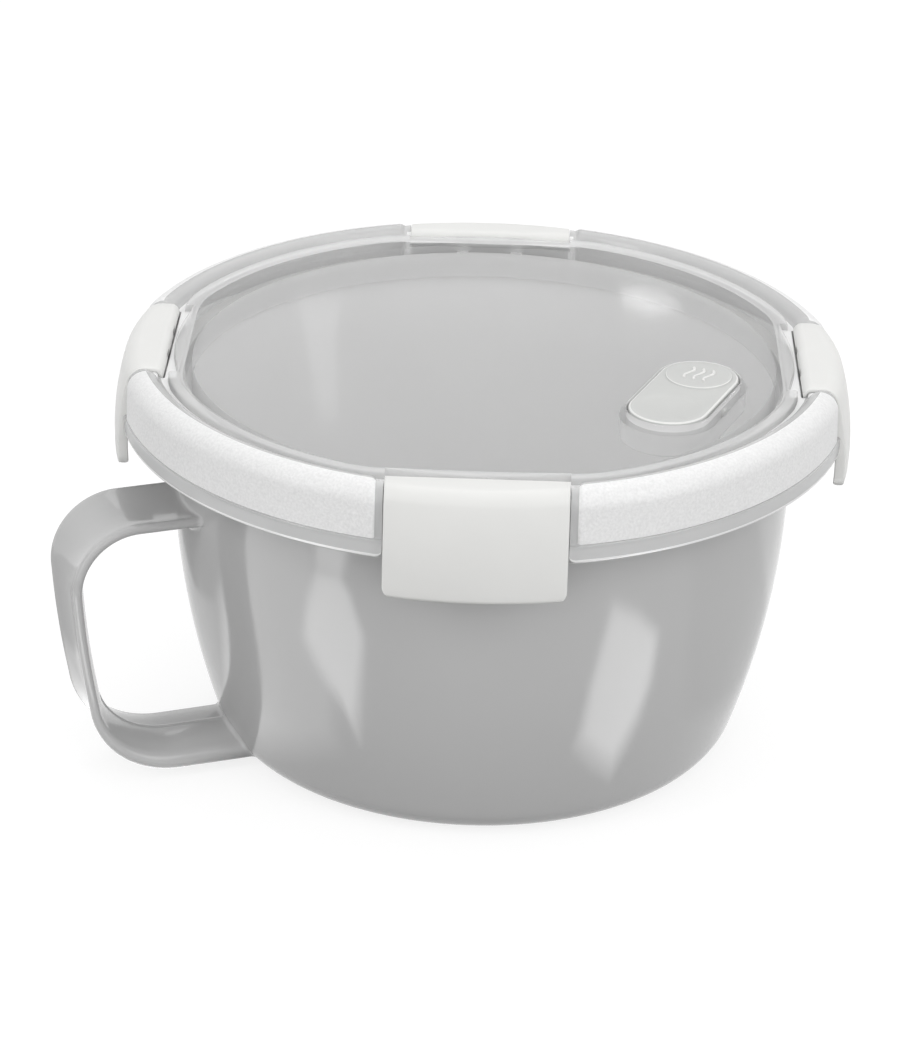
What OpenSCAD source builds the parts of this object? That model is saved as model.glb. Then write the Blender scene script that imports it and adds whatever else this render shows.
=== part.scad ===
// Soup mug: a round bowl with a strap handle, closed by a clear lid with four swing clips and a steam vent.
// Origin at the centre of the foot, +Z up, the handle along -X. Lengths in millimetres, angles in degrees.

/* [Bowl] */
// Height of the bowl from the table to its rim
bowl_h = 86; // [80:1:110]
// Outside radius of the bowl at its rim
bowl_r = 70.3; // [62:0.1:80]
// Radius of the belly's curve, seen from the side
belly_r = 190; // [150:5:260]
// Height at which the belly's curve runs out into the straight rim wall
belly_top_z = 66; // [58:1:70]
// Rounding of the bottom edge
foot_round_r = 10; // [6:0.5:14]
// Thickness of the wall
bowl_wall = 2.4; // [1.8:0.1:3]
// Thickness of the floor
bowl_floor = 2.6; // [2:0.1:4]
// How far the latch flange stands out from the wall
flange_out = 9; // [7:0.1:10]
// Thickness of the latch flange
flange_t = 2.2; // [1.6:0.1:3]
// Depth of the flange's underside below the rim
flange_drop = 9.6; // [8:0.1:12]

/* [Handle] */
// Depth of the strap's top below the latch flange
handle_drop = 11.8; // [6:0.1:20]
// Height of the strap's underside above the table
handle_bottom_z = 1.9; // [1:0.1:8]
// How far the strap's outermost edge stands out from the bowl's wall
handle_out = 28.6; // [24:0.1:42]
// Width of the strap
handle_w = 22; // [16:0.5:28]
// Thickness of the strap at its edges, from the top of the bowl to the grip
handle_edge_t = 2.2; // [1.6:0.1:3]
// Thickness of the strap at its edges where it meets the foot
handle_foot_t = 4.6; // [2:0.1:5.4]
// Depth of the shallow dish across the outer face
handle_dish = 1.3; // [0.4:0.1:2]
// Swell of the inner face along the grip
grip_swell = 1.9; // [1:0.1:4]
// Swell of the inner face where the strap meets the top of the bowl
root_swell = 3; // [1:0.1:4]
// Swell of the inner face where the strap meets the foot
foot_swell = 1.4; // [0.5:0.1:3]
// Outward bow of the grip
grip_bow = 0.4; // [0:0.1:1]
// Rounding of the upper corner
handle_top_round = 15.5; // [10:0.5:20]
// Rounding of the lower corner
handle_bottom_round = 21; // [12:0.5:24]
// Lean of the grip towards the bowl at its lower end
grip_lean = 7; // [0:0.5:12]

/* [Lid] */
// Turn of the round lid on the bowl
lid_turn = -21; // [-45:1:45]
// Height of the rim from the skirt's edge to its crest
rim_h = 16; // [14:0.1:18]
// How much narrower the rim is at its top than at the skirt
rim_draft = 0.5; // [0:0.1:1.5]
// Rounding of the rim's outer top edge
rim_round = 4.5; // [3:0.1:5]
// Height of the rim's crest above the panel
crest_rise = 1.6; // [1:0.1:2.4]
// Height of the smooth band along the skirt's edge
band_h = 4; // [2:0.1:6]
// Thickness of the raised, frosted pads on the rim
pad_t = 0.6; // [0.3:0.1:1]
// Thickness of the rim's wall
lid_wall = 1.6; // [1.2:0.1:2]
// Thickness of the panel
panel_t = 1.8; // [1.4:0.1:2.4]
// How far the panel's raised edge reaches out past the bowl's wall
panel_out = 3; // [0.5:0.1:3.2]
// How far the panel's four straight sides stay in from the bowl's wall
panel_flat_in = 0.6; // [0.4:0.1:4]
// Width of the raised edge round the panel
bead_w = 2.6; // [1.5:0.1:3.5]
// Height of the raised edge over the panel
bead_h = 0.8; // [0.4:0.1:1.2]
// Width of the groove between the raised edge and the rim
groove_w = 0.7; // [0.5:0.1:3]
// Depth of the groove below the panel's top
groove_depth = 1; // [0.6:0.1:1]
// Thickness of the two ribs that hold the gasket
rib_t = 1.4; // [1:0.1:1.6]
// Depth of the inner rib below the gasket's seat
inner_rib_h = 4.6; // [3:0.1:8]
// Depth of the outer rib below the gasket's seat
outer_rib_h = 4.2; // [3:0.1:6]

/* [Gasket] */
// Depth of the gasket's seat below the panel's underside
seat_drop = 2; // [1.6:0.1:3]
// Thickness of the gasket with its bead
seal_t = 2.4; // [1.8:0.1:3.4]
// Radius of the gasket's rounded bead
seal_bead_r = 0.8; // [0.5:0.1:1]

/* [Clips] */
// Width of a clip
clip_w = 38.2; // [32:0.1:42]
// Thickness of a clip's wall
clip_t = 2.3; // [2:0.1:2.8]
// How far a clip stands out past the skirt
clip_proud = 1.45; // [1:0.05:3]
// How far a clip reaches below the skirt
clip_drop = 8.4; // [6:0.1:12]
// Radius of the bow of a clip's face, seen from the side
clip_face_r = 57; // [45:1:90]
// Height of the face's widest place over the clip's lower edge
clip_widest = 4.9; // [2:0.1:8]
// Rounding of the bend between a clip's top and its face
clip_round = 4; // [3.2:0.1:6]
// Rounding of a clip's lower edge
clip_lip = 1.1; // [0.4:0.05:1.1]
// Rounding of a clip's lower corners
clip_corner_r = 1.6; // [1.2:0.1:3]
// Height of a clip's top over the panel's raised edge
clip_top_rise = 0.4; // [0.2:0.1:0.8]
// Distance of the hinge bar out from the lid's outer rib
hinge_out = 0.6; // [0.2:0.1:1]
// Radius of the hinge bar
hinge_pin_r = 1; // [0.8:0.05:1.1]
// Radius of the knuckles round the hinge bar
knuckle_r = 2; // [1.8:0.05:2.2]
// Width of each of the lid's two posts that carry the hinge bar
post_w = 3; // [2:0.5:5]
// Distance of each post from the middle of the clip
post_at = 6.5; // [4:0.5:12]
// Height of the posts' feet on the lid's outer rib
post_foot_h = 4; // [1.5:0.1:4]
// Width of the catch inside a clip
catch_w = 28; // [16:0.5:32]
// Height of the catch's sloping lower side
catch_slope_h = 3; // [2:0.1:4]

/* [Vent] */
// Distance of the vent's centre in from the bowl's wall
vent_in = 21.3; // [20:0.1:30]
// Place of the vent round the lid, from the right-hand clip
vent_angle = -25; // [-45:1:45]
// Turn of the flap from the direction round the lid
vent_turn = 3; // [-10:1:10]
// Length of the flap
flap_l = 36.7; // [30:0.1:38]
// Width of the flap
flap_w = 17.7; // [14:0.1:18]
// Thickness of the flap
flap_t = 2.4; // [1.8:0.1:3]
// Height of the flap's top over the panel
flap_proud = 0.2; // [0:0.1:0.6]
// Radius of the flap's round pad
flap_pad_r = 7.4; // [5:0.1:7.6]
// Height of the round pad over the flap
flap_pad_h = 0.5; // [0.2:0.1:0.8]
// Radius of the finger dimple
dimple_r = 7.2; // [5:0.1:7.6]
// Depth of the finger dimple
dimple_depth = 0.8; // [0.4:0.1:1.2]
// Depth of the vent's cup below the panel's top
cup_depth = 5.8; // [5.2:0.1:8]
// Thickness of the cup's wall and floor
cup_wall = 1.4; // [1:0.1:2]
// Radius of the steam hole
steam_r = 2.4; // [1.5:0.1:3]
// Radius of the soft plug over the steam hole
plug_r = 3.6; // [3.2:0.1:5]
// Thickness of the soft plug
plug_t = 1.6; // [1:0.1:2]
// Radius of the flap's trunnions
trunnion_r = 1.1; // [0.8:0.05:1.4]
// Radius of the bar under the flap that carries the trunnions
rocker_bar_r = 1.6; // [1.5:0.1:2]

/* [Fits] */
// Gap between the bowl's rim and the lid's ribs
rim_gap = 0.5; // [0.3:0.1:1]
// Gap between the flange's edge and the lid's skirt
skirt_gap = 1.1; // [0.6:0.1:3]
// Gap left under the gasket when the lid is on
seal_gap = 0.2; // [0.1:0.05:0.4]
// Gap between the gasket and the ribs beside it
seal_side_gap = 0.1; // [0.05:0.05:0.3]
// Gap at each side of a clip in the rim
clip_side_gap = 0.5; // [0.4:0.1:2]
// Gap round the turning knuckles
knuckle_gap = 0.35; // [0.2:0.05:0.5]
// Running clearance of the hinge bar and of the trunnions
pin_gap = 0.07; // [0.02:0.01:0.1]
// Gap between the catch and the flange's edge while a clip hangs unlatched
catch_gap = 0.3; // [0.2:0.05:0.5]
// Level of the catch below the flange's underside while a clip hangs unlatched
catch_level = 0.05; // [0:0.05:0.3]
// Smooth strip between a clip's notch and the frosted pads
pad_setback = 1.4; // [1:0.1:4]
// Gap between the flap and its cup
flap_gap = 0.45; // [0.4:0.05:1.2]
// Gap left under the soft plug when the vent is shut
plug_gap = 0.15; // [0.05:0.05:0.3]

/* [Hidden] */
$fn = 96;

mug_grey = [0.68, 0.68, 0.68];
clear_lid = [0.86, 0.88, 0.88];
clip_white = [0.95, 0.95, 0.94];
soft_white = [0.9, 0.9, 0.88];

// Steps along an arc of an outline, and overlap of cutting shapes
arc_steps = 12;
belly_steps = 24;
over = 1;

// Levels of the lid, counted up from the bowl's rim
seat_z = bowl_h + seal_gap + seal_t;
under_z = seat_z + seat_drop;
panel_z = under_z + panel_t;
bead_z = panel_z + bead_h;
groove_z = panel_z - groove_depth;
crest_z = panel_z + crest_rise;
skirt_z = crest_z - rim_h;
band_z = skirt_z + band_h;

// Rounding of the bottom edge, tangent to the foot and to the belly's curve
belly_x = bowl_r - belly_r;
foot_z = foot_round_r;
foot_x = belly_x + sqrt((belly_r - foot_round_r) ^ 2 - (belly_top_z - foot_z) ^ 2);
foot_angle = atan2(foot_z - belly_top_z, foot_x - belly_x);

// Latch flange, and the skirt of the lid outside it
flange_r = bowl_r + flange_out;
flange_z = bowl_h - flange_drop;
flange_edge = flange_t / 5;
flange_fillet = flange_t;
lid_r = flange_r + skirt_gap + lid_wall;

// Ribs and hollow of the lid
inner_rib_r = bowl_r - bowl_wall - rim_gap;
outer_rib_r = bowl_r + rim_gap;
panel_r = bowl_r + panel_out;
panel_flat = bowl_r - panel_flat_in;
groove_r = panel_r + groove_w;
crest_r = lid_r - rim_draft - rim_round;
crest_low_z = crest_z - rim_round;
pad_foot = pad_t / 3;

// Hinges of the clips
clip_top_z = bead_z + clip_top_rise;
hinge_z = clip_top_z - knuckle_r;
notch_w = clip_w + 2 * clip_side_gap;
notch_u = outer_rib_r + rib_t;
hinge_u = notch_u + hinge_out;
clip_count = 4;
clip_step = 360 / clip_count;
snap_slot = 1.7 * hinge_pin_r;
post_in = 0.8 * hinge_pin_r;
post_out = 0.9 * hinge_pin_r;
// Edges of the gaps in a clip's barrel, in which the posts stand through the whole swing
barrel_open_from = 140;
barrel_open_to = 350;

// Outline of a clip: the bend is tangent to the top and to the bowed face
clip_r = lid_r + clip_proud;
clip_z = skirt_z - clip_drop;
face_x = clip_r - clip_face_r;
face_z = clip_z + clip_widest;
bend_z = clip_top_z - clip_round;
bend_x = face_x + sqrt((clip_face_r - clip_round) ^ 2 - (bend_z - face_z) ^ 2);
bend_angle = atan2(bend_z - face_z, bend_x - face_x);
lip_angle = -asin((clip_widest - clip_lip) / clip_face_r);
lip_x = face_x + clip_face_r * cos(lip_angle) - clip_lip;
lip_in_x = face_x + (clip_face_r - clip_t) * cos(lip_angle) + clip_lip;
catch_r = flange_r + catch_gap;
catch_z = flange_z - catch_level;

// Vent
vent_at = (bowl_r - vent_in) * [cos(vent_angle), sin(vent_angle)];
vent_dir = vent_angle + 90 + vent_turn;
flap_z = panel_z + flap_proud - flap_t;
cup_z = panel_z - cup_depth;
cup_l = flap_l + 2 * (flap_gap + cup_wall);
cup_w = flap_w + 2 * (flap_gap + cup_wall);
flap_reach = (flap_l - flap_w) / 2;
rocker_z = flap_z - rocker_bar_r / 2;
plug_z = cup_z + plug_gap;
stem_r = 2 / 3 * plug_r;
trunnion_l = flap_w + 2 * flap_gap + cup_wall;
dimple_ball_r = (dimple_r ^ 2 + dimple_depth ^ 2) / (2 * dimple_depth);

// Points of an arc from angle a to angle b
function arc(x, y, r, a, b, n = arc_steps) =
    [for (i = [0 : n]) let (t = a + (b - a) * i / n) [x + r * cos(t), y + r * sin(t)]];

// Outline of the bowl's outside, or of its inside when set back by the wall and raised by the floor
function bowl_side(set_back, floor_z, top_z) = concat(
    [[0, floor_z]],
    arc(foot_x, foot_z - set_back + floor_z, foot_round_r - set_back, -90, foot_angle),
    [for (p = arc(belly_x, belly_top_z, belly_r - set_back, foot_angle, 0, belly_steps))
        if (p.y > foot_z - set_back + floor_z) p],
    [[bowl_r - set_back, top_z], [0, top_z]]);

// The bowl filled up to its rim
module bowl_outside() {
    rotate_extrude() polygon(bowl_side(0, 0, bowl_h));
}

// Bowl with its rim wall and latch flange
module bowl() {
    color(mug_grey) difference() {
        union() {
            bowl_outside();
            rotate_extrude() polygon([
                [bowl_r - bowl_wall / 2, flange_z - flange_fillet],
                [bowl_r, flange_z - flange_fillet],
                [bowl_r + flange_fillet, flange_z],
                [flange_r - flange_edge, flange_z],
                [flange_r, flange_z + flange_edge],
                [flange_r, flange_z + flange_t - flange_edge],
                [flange_r - flange_edge, flange_z + flange_t],
                [bowl_r - bowl_wall / 2, flange_z + flange_t]]);
        }
        rotate_extrude() polygon(bowl_side(bowl_wall, bowl_floor, bowl_h + over));
    }
}

// Path of the strap's outer edge: distance from the axis, height, and angle of its outward side
handle_reach = bowl_r + handle_out;
handle_top_z = bowl_h - (flange_drop + handle_drop);
grip_top_x = handle_reach - handle_top_round * (1 - cos(grip_lean));
grip_top_z = handle_top_z - handle_top_round * (1 + sin(grip_lean));
grip_low_z = handle_bottom_z + handle_bottom_round * (1 - sin(grip_lean));
grip_low_x = grip_top_x - (grip_top_z - grip_low_z) * tan(grip_lean);
low_round_x = grip_low_x - handle_bottom_round * cos(grip_lean);
strap_start = bowl_r - 3 * bowl_wall;
grip_steps = 6;
strap_path = concat(
    [[strap_start, handle_top_z, 90]],
    [for (i = [0 : arc_steps]) let (a = 90 - (90 + grip_lean) * i / arc_steps)
        [handle_reach - handle_top_round * (1 - cos(a)), handle_top_z - handle_top_round * (1 - sin(a)), a]],
    [for (i = [1 : grip_steps - 1]) let (t = i / grip_steps)
        [grip_top_x + (grip_low_x - grip_top_x) * t + 4 * grip_bow * t * (1 - t),
         grip_top_z + (grip_low_z - grip_top_z) * t, -grip_lean]],
    [for (i = [0 : arc_steps]) let (a = -grip_lean - (90 - grip_lean) * i / arc_steps)
        [low_round_x + handle_bottom_round * cos(a),
         handle_bottom_z + handle_bottom_round * (1 + sin(a)), a]],
    [[foot_x - foot_round_r, handle_bottom_z, -90]]);

// Section of the strap at a place where its outward side points at angle a:
// place across the strap, and depth below its outer edge
face_steps = 8;
edge_steps = 4;
function bend(a) = max(0, (-a - grip_lean) / (90 - grip_lean));
function foot_share(a) = bend(a) ^ 2 * (3 - 2 * bend(a));
function edge_t(a) = handle_edge_t + (handle_foot_t - handle_edge_t) * foot_share(a);
function swell(a) = grip_swell + (a > 0 ? (root_swell - grip_swell) * sin(a) ^ 2
                                        : (foot_swell - grip_swell) * foot_share(a));
function strap_section(a) = let (t = edge_t(a), half = (handle_w - t) / 2) concat(
    [for (i = [0 : face_steps]) let (s = 2 * i / face_steps - 1) [half * s, -handle_dish * (1 - s ^ 2)]],
    [for (i = [1 : edge_steps - 1]) let (b = 90 - 180 * i / edge_steps)
        [half + t / 2 * cos(b), t / 2 * (sin(b) - 1)]],
    [for (i = [0 : face_steps]) let (s = 1 - 2 * i / face_steps) [half * s, -t - swell(a) * (1 - s ^ 2)]],
    [for (i = [1 : edge_steps - 1]) let (b = -90 - 180 * i / edge_steps)
        [-half + t / 2 * cos(b), t / 2 * (sin(b) - 1)]]);

// Strap handle, shaped to the bowl where it joins it
module handle() {
    rings = len(strap_path);
    sides = len(strap_section(0));
    points = [for (p = strap_path) for (s = strap_section(p.z))
        [-p.x - s.y * cos(p.z), s.x, p.y + s.y * sin(p.z)]];
    walls = [for (i = [0 : rings - 2]) for (j = [0 : sides - 1]) let (k = (j + 1) % sides)
        [i * sides + j, i * sides + k, (i + 1) * sides + k, (i + 1) * sides + j]];
    ends = [[for (j = [sides - 1 : -1 : 0]) j], [for (j = [0 : sides - 1]) (rings - 1) * sides + j]];
    color(mug_grey) difference() {
        polyhedron(points, concat(walls, ends));
        bowl_outside();
    }
}

// Outline of the lid's panel: a circle with four straight sides
module panel_outline(inset = 0) {
    intersection() {
        circle(panel_r - inset);
        square(2 * (panel_flat - inset), center = true);
    }
}

// Pill outline, used by the vent's cup and flap
module pill(l, w) {
    square([l - w, w], center = true);
    for (side = [-1, 1]) translate([side * (l - w) / 2, 0]) circle(d = w);
}

// Places a child at one of the four clips, with +X pointing out of the lid
module at_clip(number) {
    rotate(lid_turn + clip_step * number) children();
}

// Turns a side view, with distance from the axis and height, into a bar of width w across the clip
module across(w) {
    rotate([90, 0, 0]) linear_extrude(w, center = true) children();
}

// Round bar along a clip's hinge
module hinge_bar(r, l) {
    translate([hinge_u, 0, hinge_z]) rotate([90, 0, 0]) cylinder(r = r, h = l, center = true);
}

// Places a child at both posts of a clip's hinge
module at_posts() {
    for (side = [-1, 1]) translate([0, side * post_at, 0]) children();
}

// Places a child at the vent, with +X along the flap
module at_vent() {
    rotate(lid_turn) translate(vent_at) rotate(vent_dir) children();
}

// Ring of the lid outside the panel: gasket ribs, groove, rounded rim and skirt
module lid_ring() {
    base_round = rim_round - pad_t;
    hollow_round = base_round - lid_wall;
    top_in = [crest_r, crest_low_z + hollow_round];
    rotate_extrude() polygon(concat(
        [[outer_rib_r, seat_z - outer_rib_h], [notch_u, seat_z - outer_rib_h], [notch_u, groove_z - lid_wall],
         [groove_r, groove_z - lid_wall], top_in],
        arc(crest_r, crest_low_z, hollow_round, 90, 0),
        [[lid_r - pad_foot - pad_t - lid_wall, band_z], [lid_r - lid_wall, band_z - lid_wall],
         [lid_r - lid_wall, skirt_z], [lid_r, skirt_z], [lid_r, band_z], [lid_r - pad_foot - pad_t, band_z]],
        arc(crest_r, crest_low_z, base_round, 0, 90),
        [[groove_r, groove_z], [inner_rib_r - rib_t, groove_z], [inner_rib_r - rib_t, seat_z - inner_rib_h],
         [inner_rib_r, seat_z - inner_rib_h], [inner_rib_r, seat_z], [outer_rib_r, seat_z]]));
}

// Raised frosted pads on the rim, between the clips
module rim_pads() {
    pad_gap = notch_w + 2 * pad_setback;
    buried_round = rim_round - pad_t - lid_wall / 2;
    difference() {
        rotate_extrude() polygon(concat(
            [[crest_r - rim_round / 2, crest_z - rim_round / 2], [crest_r - rim_round / 3, crest_z - pad_t]],
            arc(crest_r, crest_low_z, rim_round, 90, 0),
            [[lid_r - pad_foot, band_z], [lid_r - pad_foot - pad_t - lid_wall / 2, band_z]],
            arc(crest_r, crest_low_z, buried_round, 0, 90)));
        for (turn = [0, clip_step]) rotate(turn)
            translate([-lid_r - over, -pad_gap / 2, skirt_z]) cube([2 * (lid_r + over), pad_gap, 2 * rim_h]);
    }
}

// Walls that close the rim's hollow at both sides of a clip's notch
module notch_walls() {
    intersection() {
        rotate_extrude() polygon(concat(
            [[notch_u, band_z - lid_wall], [lid_r - pad_foot - pad_t, band_z - lid_wall],
             [lid_r - pad_foot - pad_t, band_z]],
            arc(crest_r, crest_low_z, rim_round - pad_t, 0, 90),
            [[groove_r, groove_z], [notch_u, groove_z]]));
        for (side = [-1, 1]) translate([notch_u / 2, side * (notch_w + lid_wall) / 2, crest_z])
            translate([0, -lid_wall / 2, -rim_h]) cube([lid_r, lid_wall, 2 * rim_h]);
    }
}

// Notch in the rim for a clip, with rounded lower corners, and room for its turning barrel
module notch() {
    translate([notch_u, 0, 0]) rotate([90, 0, 90]) linear_extrude(lid_r) {
        translate([-notch_w / 2, skirt_z - over]) square([notch_w, rim_h + 2 * over]);
        for (side = [-1, 1]) translate([side * notch_w / 2, skirt_z]) difference() {
            square(2 * clip_corner_r, center = true);
            translate([side * clip_corner_r, clip_corner_r]) circle(clip_corner_r);
        }
    }
    hinge_bar(knuckle_r + knuckle_gap, clip_w);
}

// Posts of the lid that carry a clip's hinge bar; the bar's ends sit in the notch's walls
module hinge_posts() {
    foot_z = seat_z - outer_rib_h;
    at_posts() across(post_w) {
        translate([hinge_u - post_in, foot_z]) square([post_in + post_out, hinge_z - foot_z]);
        translate([outer_rib_r, foot_z]) square([hinge_u - outer_rib_r, post_foot_h]);
    }
    hinge_bar(hinge_pin_r, notch_w + lid_wall);
}

// Clear lid in one piece with its rim, hinge bars and vent cup
module lid() {
    color(clear_lid) difference() {
        union() {
            rotate(lid_turn) difference() {
                union() {
                    lid_ring();
                    rim_pads();
                    for (number = [0 : clip_count - 1]) rotate(clip_step * number) notch_walls();
                }
                for (number = [0 : clip_count - 1]) rotate(clip_step * number) notch();
            }
            rotate(lid_turn) translate([0, 0, under_z]) linear_extrude(panel_t) panel_outline();
            rotate(lid_turn) translate([0, 0, under_z]) linear_extrude(panel_t + bead_h) difference() {
                panel_outline();
                panel_outline(bead_w);
            }
            for (number = [0 : clip_count - 1]) at_clip(number) hinge_posts();
            at_vent() translate([0, 0, cup_z - cup_wall]) linear_extrude(cup_depth + cup_wall)
                pill(cup_l, cup_w);
        }
        at_vent() {
            translate([0, 0, cup_z]) linear_extrude(cup_depth + over)
                pill(flap_l + 2 * flap_gap, flap_w + 2 * flap_gap);
            translate([flap_reach, 0, cup_z - cup_wall - over])
                cylinder(r = steam_r, h = cup_wall + 2 * over);
            translate([0, 0, rocker_z]) rotate([90, 0, 0])
                cylinder(r = trunnion_r + pin_gap, h = cup_w + 2 * over, center = true);
        }
    }
}

// Gasket with a rounded bead that meets the bowl's rim
module lid_seal() {
    seal_in = inner_rib_r + seal_side_gap;
    seal_out = outer_rib_r - seal_side_gap;
    bead_mid_z = seat_z - seal_t + seal_bead_r;
    color(soft_white) rotate_extrude() {
        translate([seal_in, bead_mid_z]) square([seal_out - seal_in, seal_t - seal_bead_r]);
        translate([(seal_in + seal_out) / 2, bead_mid_z]) circle(seal_bead_r);
    }
}

// Clip with its knuckles and catch
module clip(number) {
    color(clip_white) at_clip(number) {
        difference() {
            union() {
                intersection() {
                    rotate_extrude() clip_side_view();
                    translate([hinge_u, 0, 0]) rotate([90, 0, 90]) linear_extrude(clip_r) clip_front_view();
                }
                hinge_bar(knuckle_r, clip_w - 2 * knuckle_gap);
            }
            hinge_bar(hinge_pin_r + pin_gap, clip_w + 2 * over);
            translate([hinge_u - snap_slot / 2, -clip_w / 2 - over, hinge_z - 2 * knuckle_r])
                cube([snap_slot, clip_w + 2 * over, 2 * knuckle_r]);
            barrel_gaps();
        }
        intersection() {
            rotate_extrude() polygon([
                [lip_in_x - clip_lip, catch_z - catch_slope_h], [catch_r, catch_z - catch_slope_h / 2],
                [catch_r, catch_z], [clip_r - clip_t / 2, catch_z],
                [clip_r - clip_t / 2, catch_z - catch_slope_h]]);
            translate([0, -catch_w / 2, clip_z]) cube([clip_r + over, catch_w, rim_h]);
        }
    }
}

// A clip in section: distance from the axis, and height
module clip_side_view() {
    polygon(concat(
        [[hinge_u / 2, clip_top_z - clip_t], [hinge_u / 2, clip_top_z]],
        arc(bend_x, bend_z, clip_round, 90, bend_angle),
        arc(face_x, face_z, clip_face_r, bend_angle, lip_angle),
        arc(lip_x, clip_z + clip_lip, clip_lip, lip_angle, -90),
        arc(lip_in_x, clip_z + clip_lip, clip_lip, -90, -180),
        arc(face_x, face_z, clip_face_r - clip_t, lip_angle, bend_angle),
        arc(bend_x, bend_z, clip_round - clip_t, bend_angle, 90)));
}

// Gaps in a clip's barrel, where the lid's posts stand
module barrel_gaps() {
    gap_r = 2 * knuckle_r;
    gap_w = post_w + 2 * knuckle_gap;
    at_posts() {
        hinge_bar(hinge_pin_r + knuckle_gap, gap_w);
        across(gap_w) translate([hinge_u, hinge_z])
            polygon(concat([[0, 0]], arc(0, 0, gap_r, barrel_open_from, barrel_open_to)));
    }
}

// A clip seen from the front, with rounded lower corners
module clip_front_view() {
    translate([-clip_w / 2, clip_z + clip_corner_r]) square([clip_w, rim_h + clip_drop]);
    translate([-clip_w / 2 + clip_corner_r, clip_z]) square([clip_w - 2 * clip_corner_r, rim_h]);
    for (side = [-1, 1]) translate([side * (clip_w / 2 - clip_corner_r), clip_z + clip_corner_r])
        circle(clip_corner_r);
}

// Steam flap that rocks on two trunnions across its middle
module vent_rocker() {
    color(clip_white) at_vent() {
        difference() {
            union() {
                translate([0, 0, flap_z]) linear_extrude(flap_t) pill(flap_l, flap_w);
                translate([flap_reach, 0, flap_z]) cylinder(r = flap_pad_r, h = flap_t + flap_pad_h);
            }
            translate([-flap_reach, 0, flap_z + flap_t - dimple_depth + dimple_ball_r]) sphere(dimple_ball_r);
        }
        translate([0, 0, rocker_z]) rotate([90, 0, 0]) {
            cylinder(r = rocker_bar_r, h = flap_w, center = true);
            cylinder(r = trunnion_r, h = trunnion_l, center = true);
        }
        translate([flap_reach, 0, plug_z + plug_t])
            cylinder(r = stem_r, h = flap_z + flap_t / 2 - plug_z - plug_t);
    }
}

// Soft plug over the steam hole
module vent_seal() {
    color(soft_white) at_vent() translate([flap_reach, 0, plug_z]) cylinder(r = plug_r, h = plug_t);
}

bowl();
handle();
lid();
lid_seal();
clip(0);  // clip_right
clip(1);  // clip_back
clip(2);  // clip_left
clip(3);  // clip_front
vent_rocker();
vent_seal();
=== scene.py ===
"""Soup mug: a glossy grey bowl with a strap handle, a clear lid, four white swing clips and a steam vent.

Sizes are in millimetres, as in the part's source, and become metres when a mesh is made.
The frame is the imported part's own: origin at the centre of the foot, +Z up, the handle along -X.
"""

import logging
import math
from dataclasses import dataclass
from enum import Enum, IntEnum
from typing import Any, Iterable, Sequence

import bmesh
import bpy
from mathutils import Matrix, Vector


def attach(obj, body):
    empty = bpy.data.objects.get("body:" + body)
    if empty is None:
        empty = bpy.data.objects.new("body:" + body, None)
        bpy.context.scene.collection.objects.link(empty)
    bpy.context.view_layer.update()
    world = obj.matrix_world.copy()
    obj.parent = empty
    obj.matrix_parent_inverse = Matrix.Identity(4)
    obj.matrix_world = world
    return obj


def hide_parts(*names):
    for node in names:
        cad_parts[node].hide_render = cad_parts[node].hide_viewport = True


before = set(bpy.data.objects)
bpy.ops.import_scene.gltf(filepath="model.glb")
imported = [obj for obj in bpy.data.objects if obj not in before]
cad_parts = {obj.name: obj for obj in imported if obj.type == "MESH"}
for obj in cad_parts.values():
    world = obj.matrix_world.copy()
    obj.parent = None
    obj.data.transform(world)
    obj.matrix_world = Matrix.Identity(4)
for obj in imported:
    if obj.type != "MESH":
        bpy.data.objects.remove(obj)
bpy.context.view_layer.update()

LOG = logging.getLogger("soup_mug")
MM = 0.001
WELD = 1e-4  # points this close, in millimetres, are one point
NO_AREA = 1e-5  # a face thinner than this, in millimetres, is dropped
PILL_STEPS = 47  # pieces in each round end of a pill outline
ROD_EASE = 0.25  # rounding at the ends of round bars
NOISE_LOW, NOISE_HIGH = 0.3, 0.7  # most of a noise's values lie between these

Point2 = tuple[float, float]
Point3 = tuple[float, float, float]
Colour = tuple[float, float, float, float]
ORIGIN: Point2 = (0.0, 0.0)


class Body(Enum):
    """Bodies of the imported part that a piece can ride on."""

    MUG = "mug"
    LID = "lid"
    CLIP_RIGHT = "clip_right"
    CLIP_BACK = "clip_back"
    CLIP_LEFT = "clip_left"
    CLIP_FRONT = "clip_front"
    VENT = "vent"


class Slot(Enum):
    """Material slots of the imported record."""

    MUG = "mug_plastic"
    LID = "lid_plastic"
    CLIP = "clip_plastic"
    VENT = "vent_plastic"
    SEAL = "seal_rubber"


# Outlines and meshes


def arc(x: float, z: float, radius: float, start: float, end: float, steps: int) -> list[Point2]:
    """Points along an arc.

    Args:
        x: First coordinate of the centre.
        z: Second coordinate of the centre.
        radius: Radius of the arc.
        start: Angle of the first point, in degrees.
        end: Angle of the last point, in degrees.
        steps: Number of pieces the arc is cut into.

    Returns:
        The steps + 1 points, in order.
    """
    turns = [math.radians(start + (end - start) * i / steps) for i in range(steps + 1)]
    return [(x + radius * math.cos(a), z + radius * math.sin(a)) for a in turns]


def level(z: float, places: Iterable[Point2]) -> list[Point3]:
    """Places on the plan, all at one height."""
    return [(x, y, z) for x, y in places]


def ring(radius: float, z: float, count: int, centre: Point2 = ORIGIN) -> list[Point3]:
    """Level circle of count points, anticlockwise."""
    return level(z, arc(*centre, radius, 0, 360, count)[:-1])


def pill(reach: float, radius: float, z: float) -> list[Point3]:
    """Level pill outline about the origin, with its length along X.

    Args:
        reach: Distance of each end's centre from the middle.
        radius: Radius of the two ends.
        z: Height of the outline.

    Returns:
        The outline's points, anticlockwise.
    """
    right = arc(reach, 0, radius, -90, 90, PILL_STEPS)
    left = arc(-reach, 0, radius, 90, 270, PILL_STEPS)
    return level(z, right + left)


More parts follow.
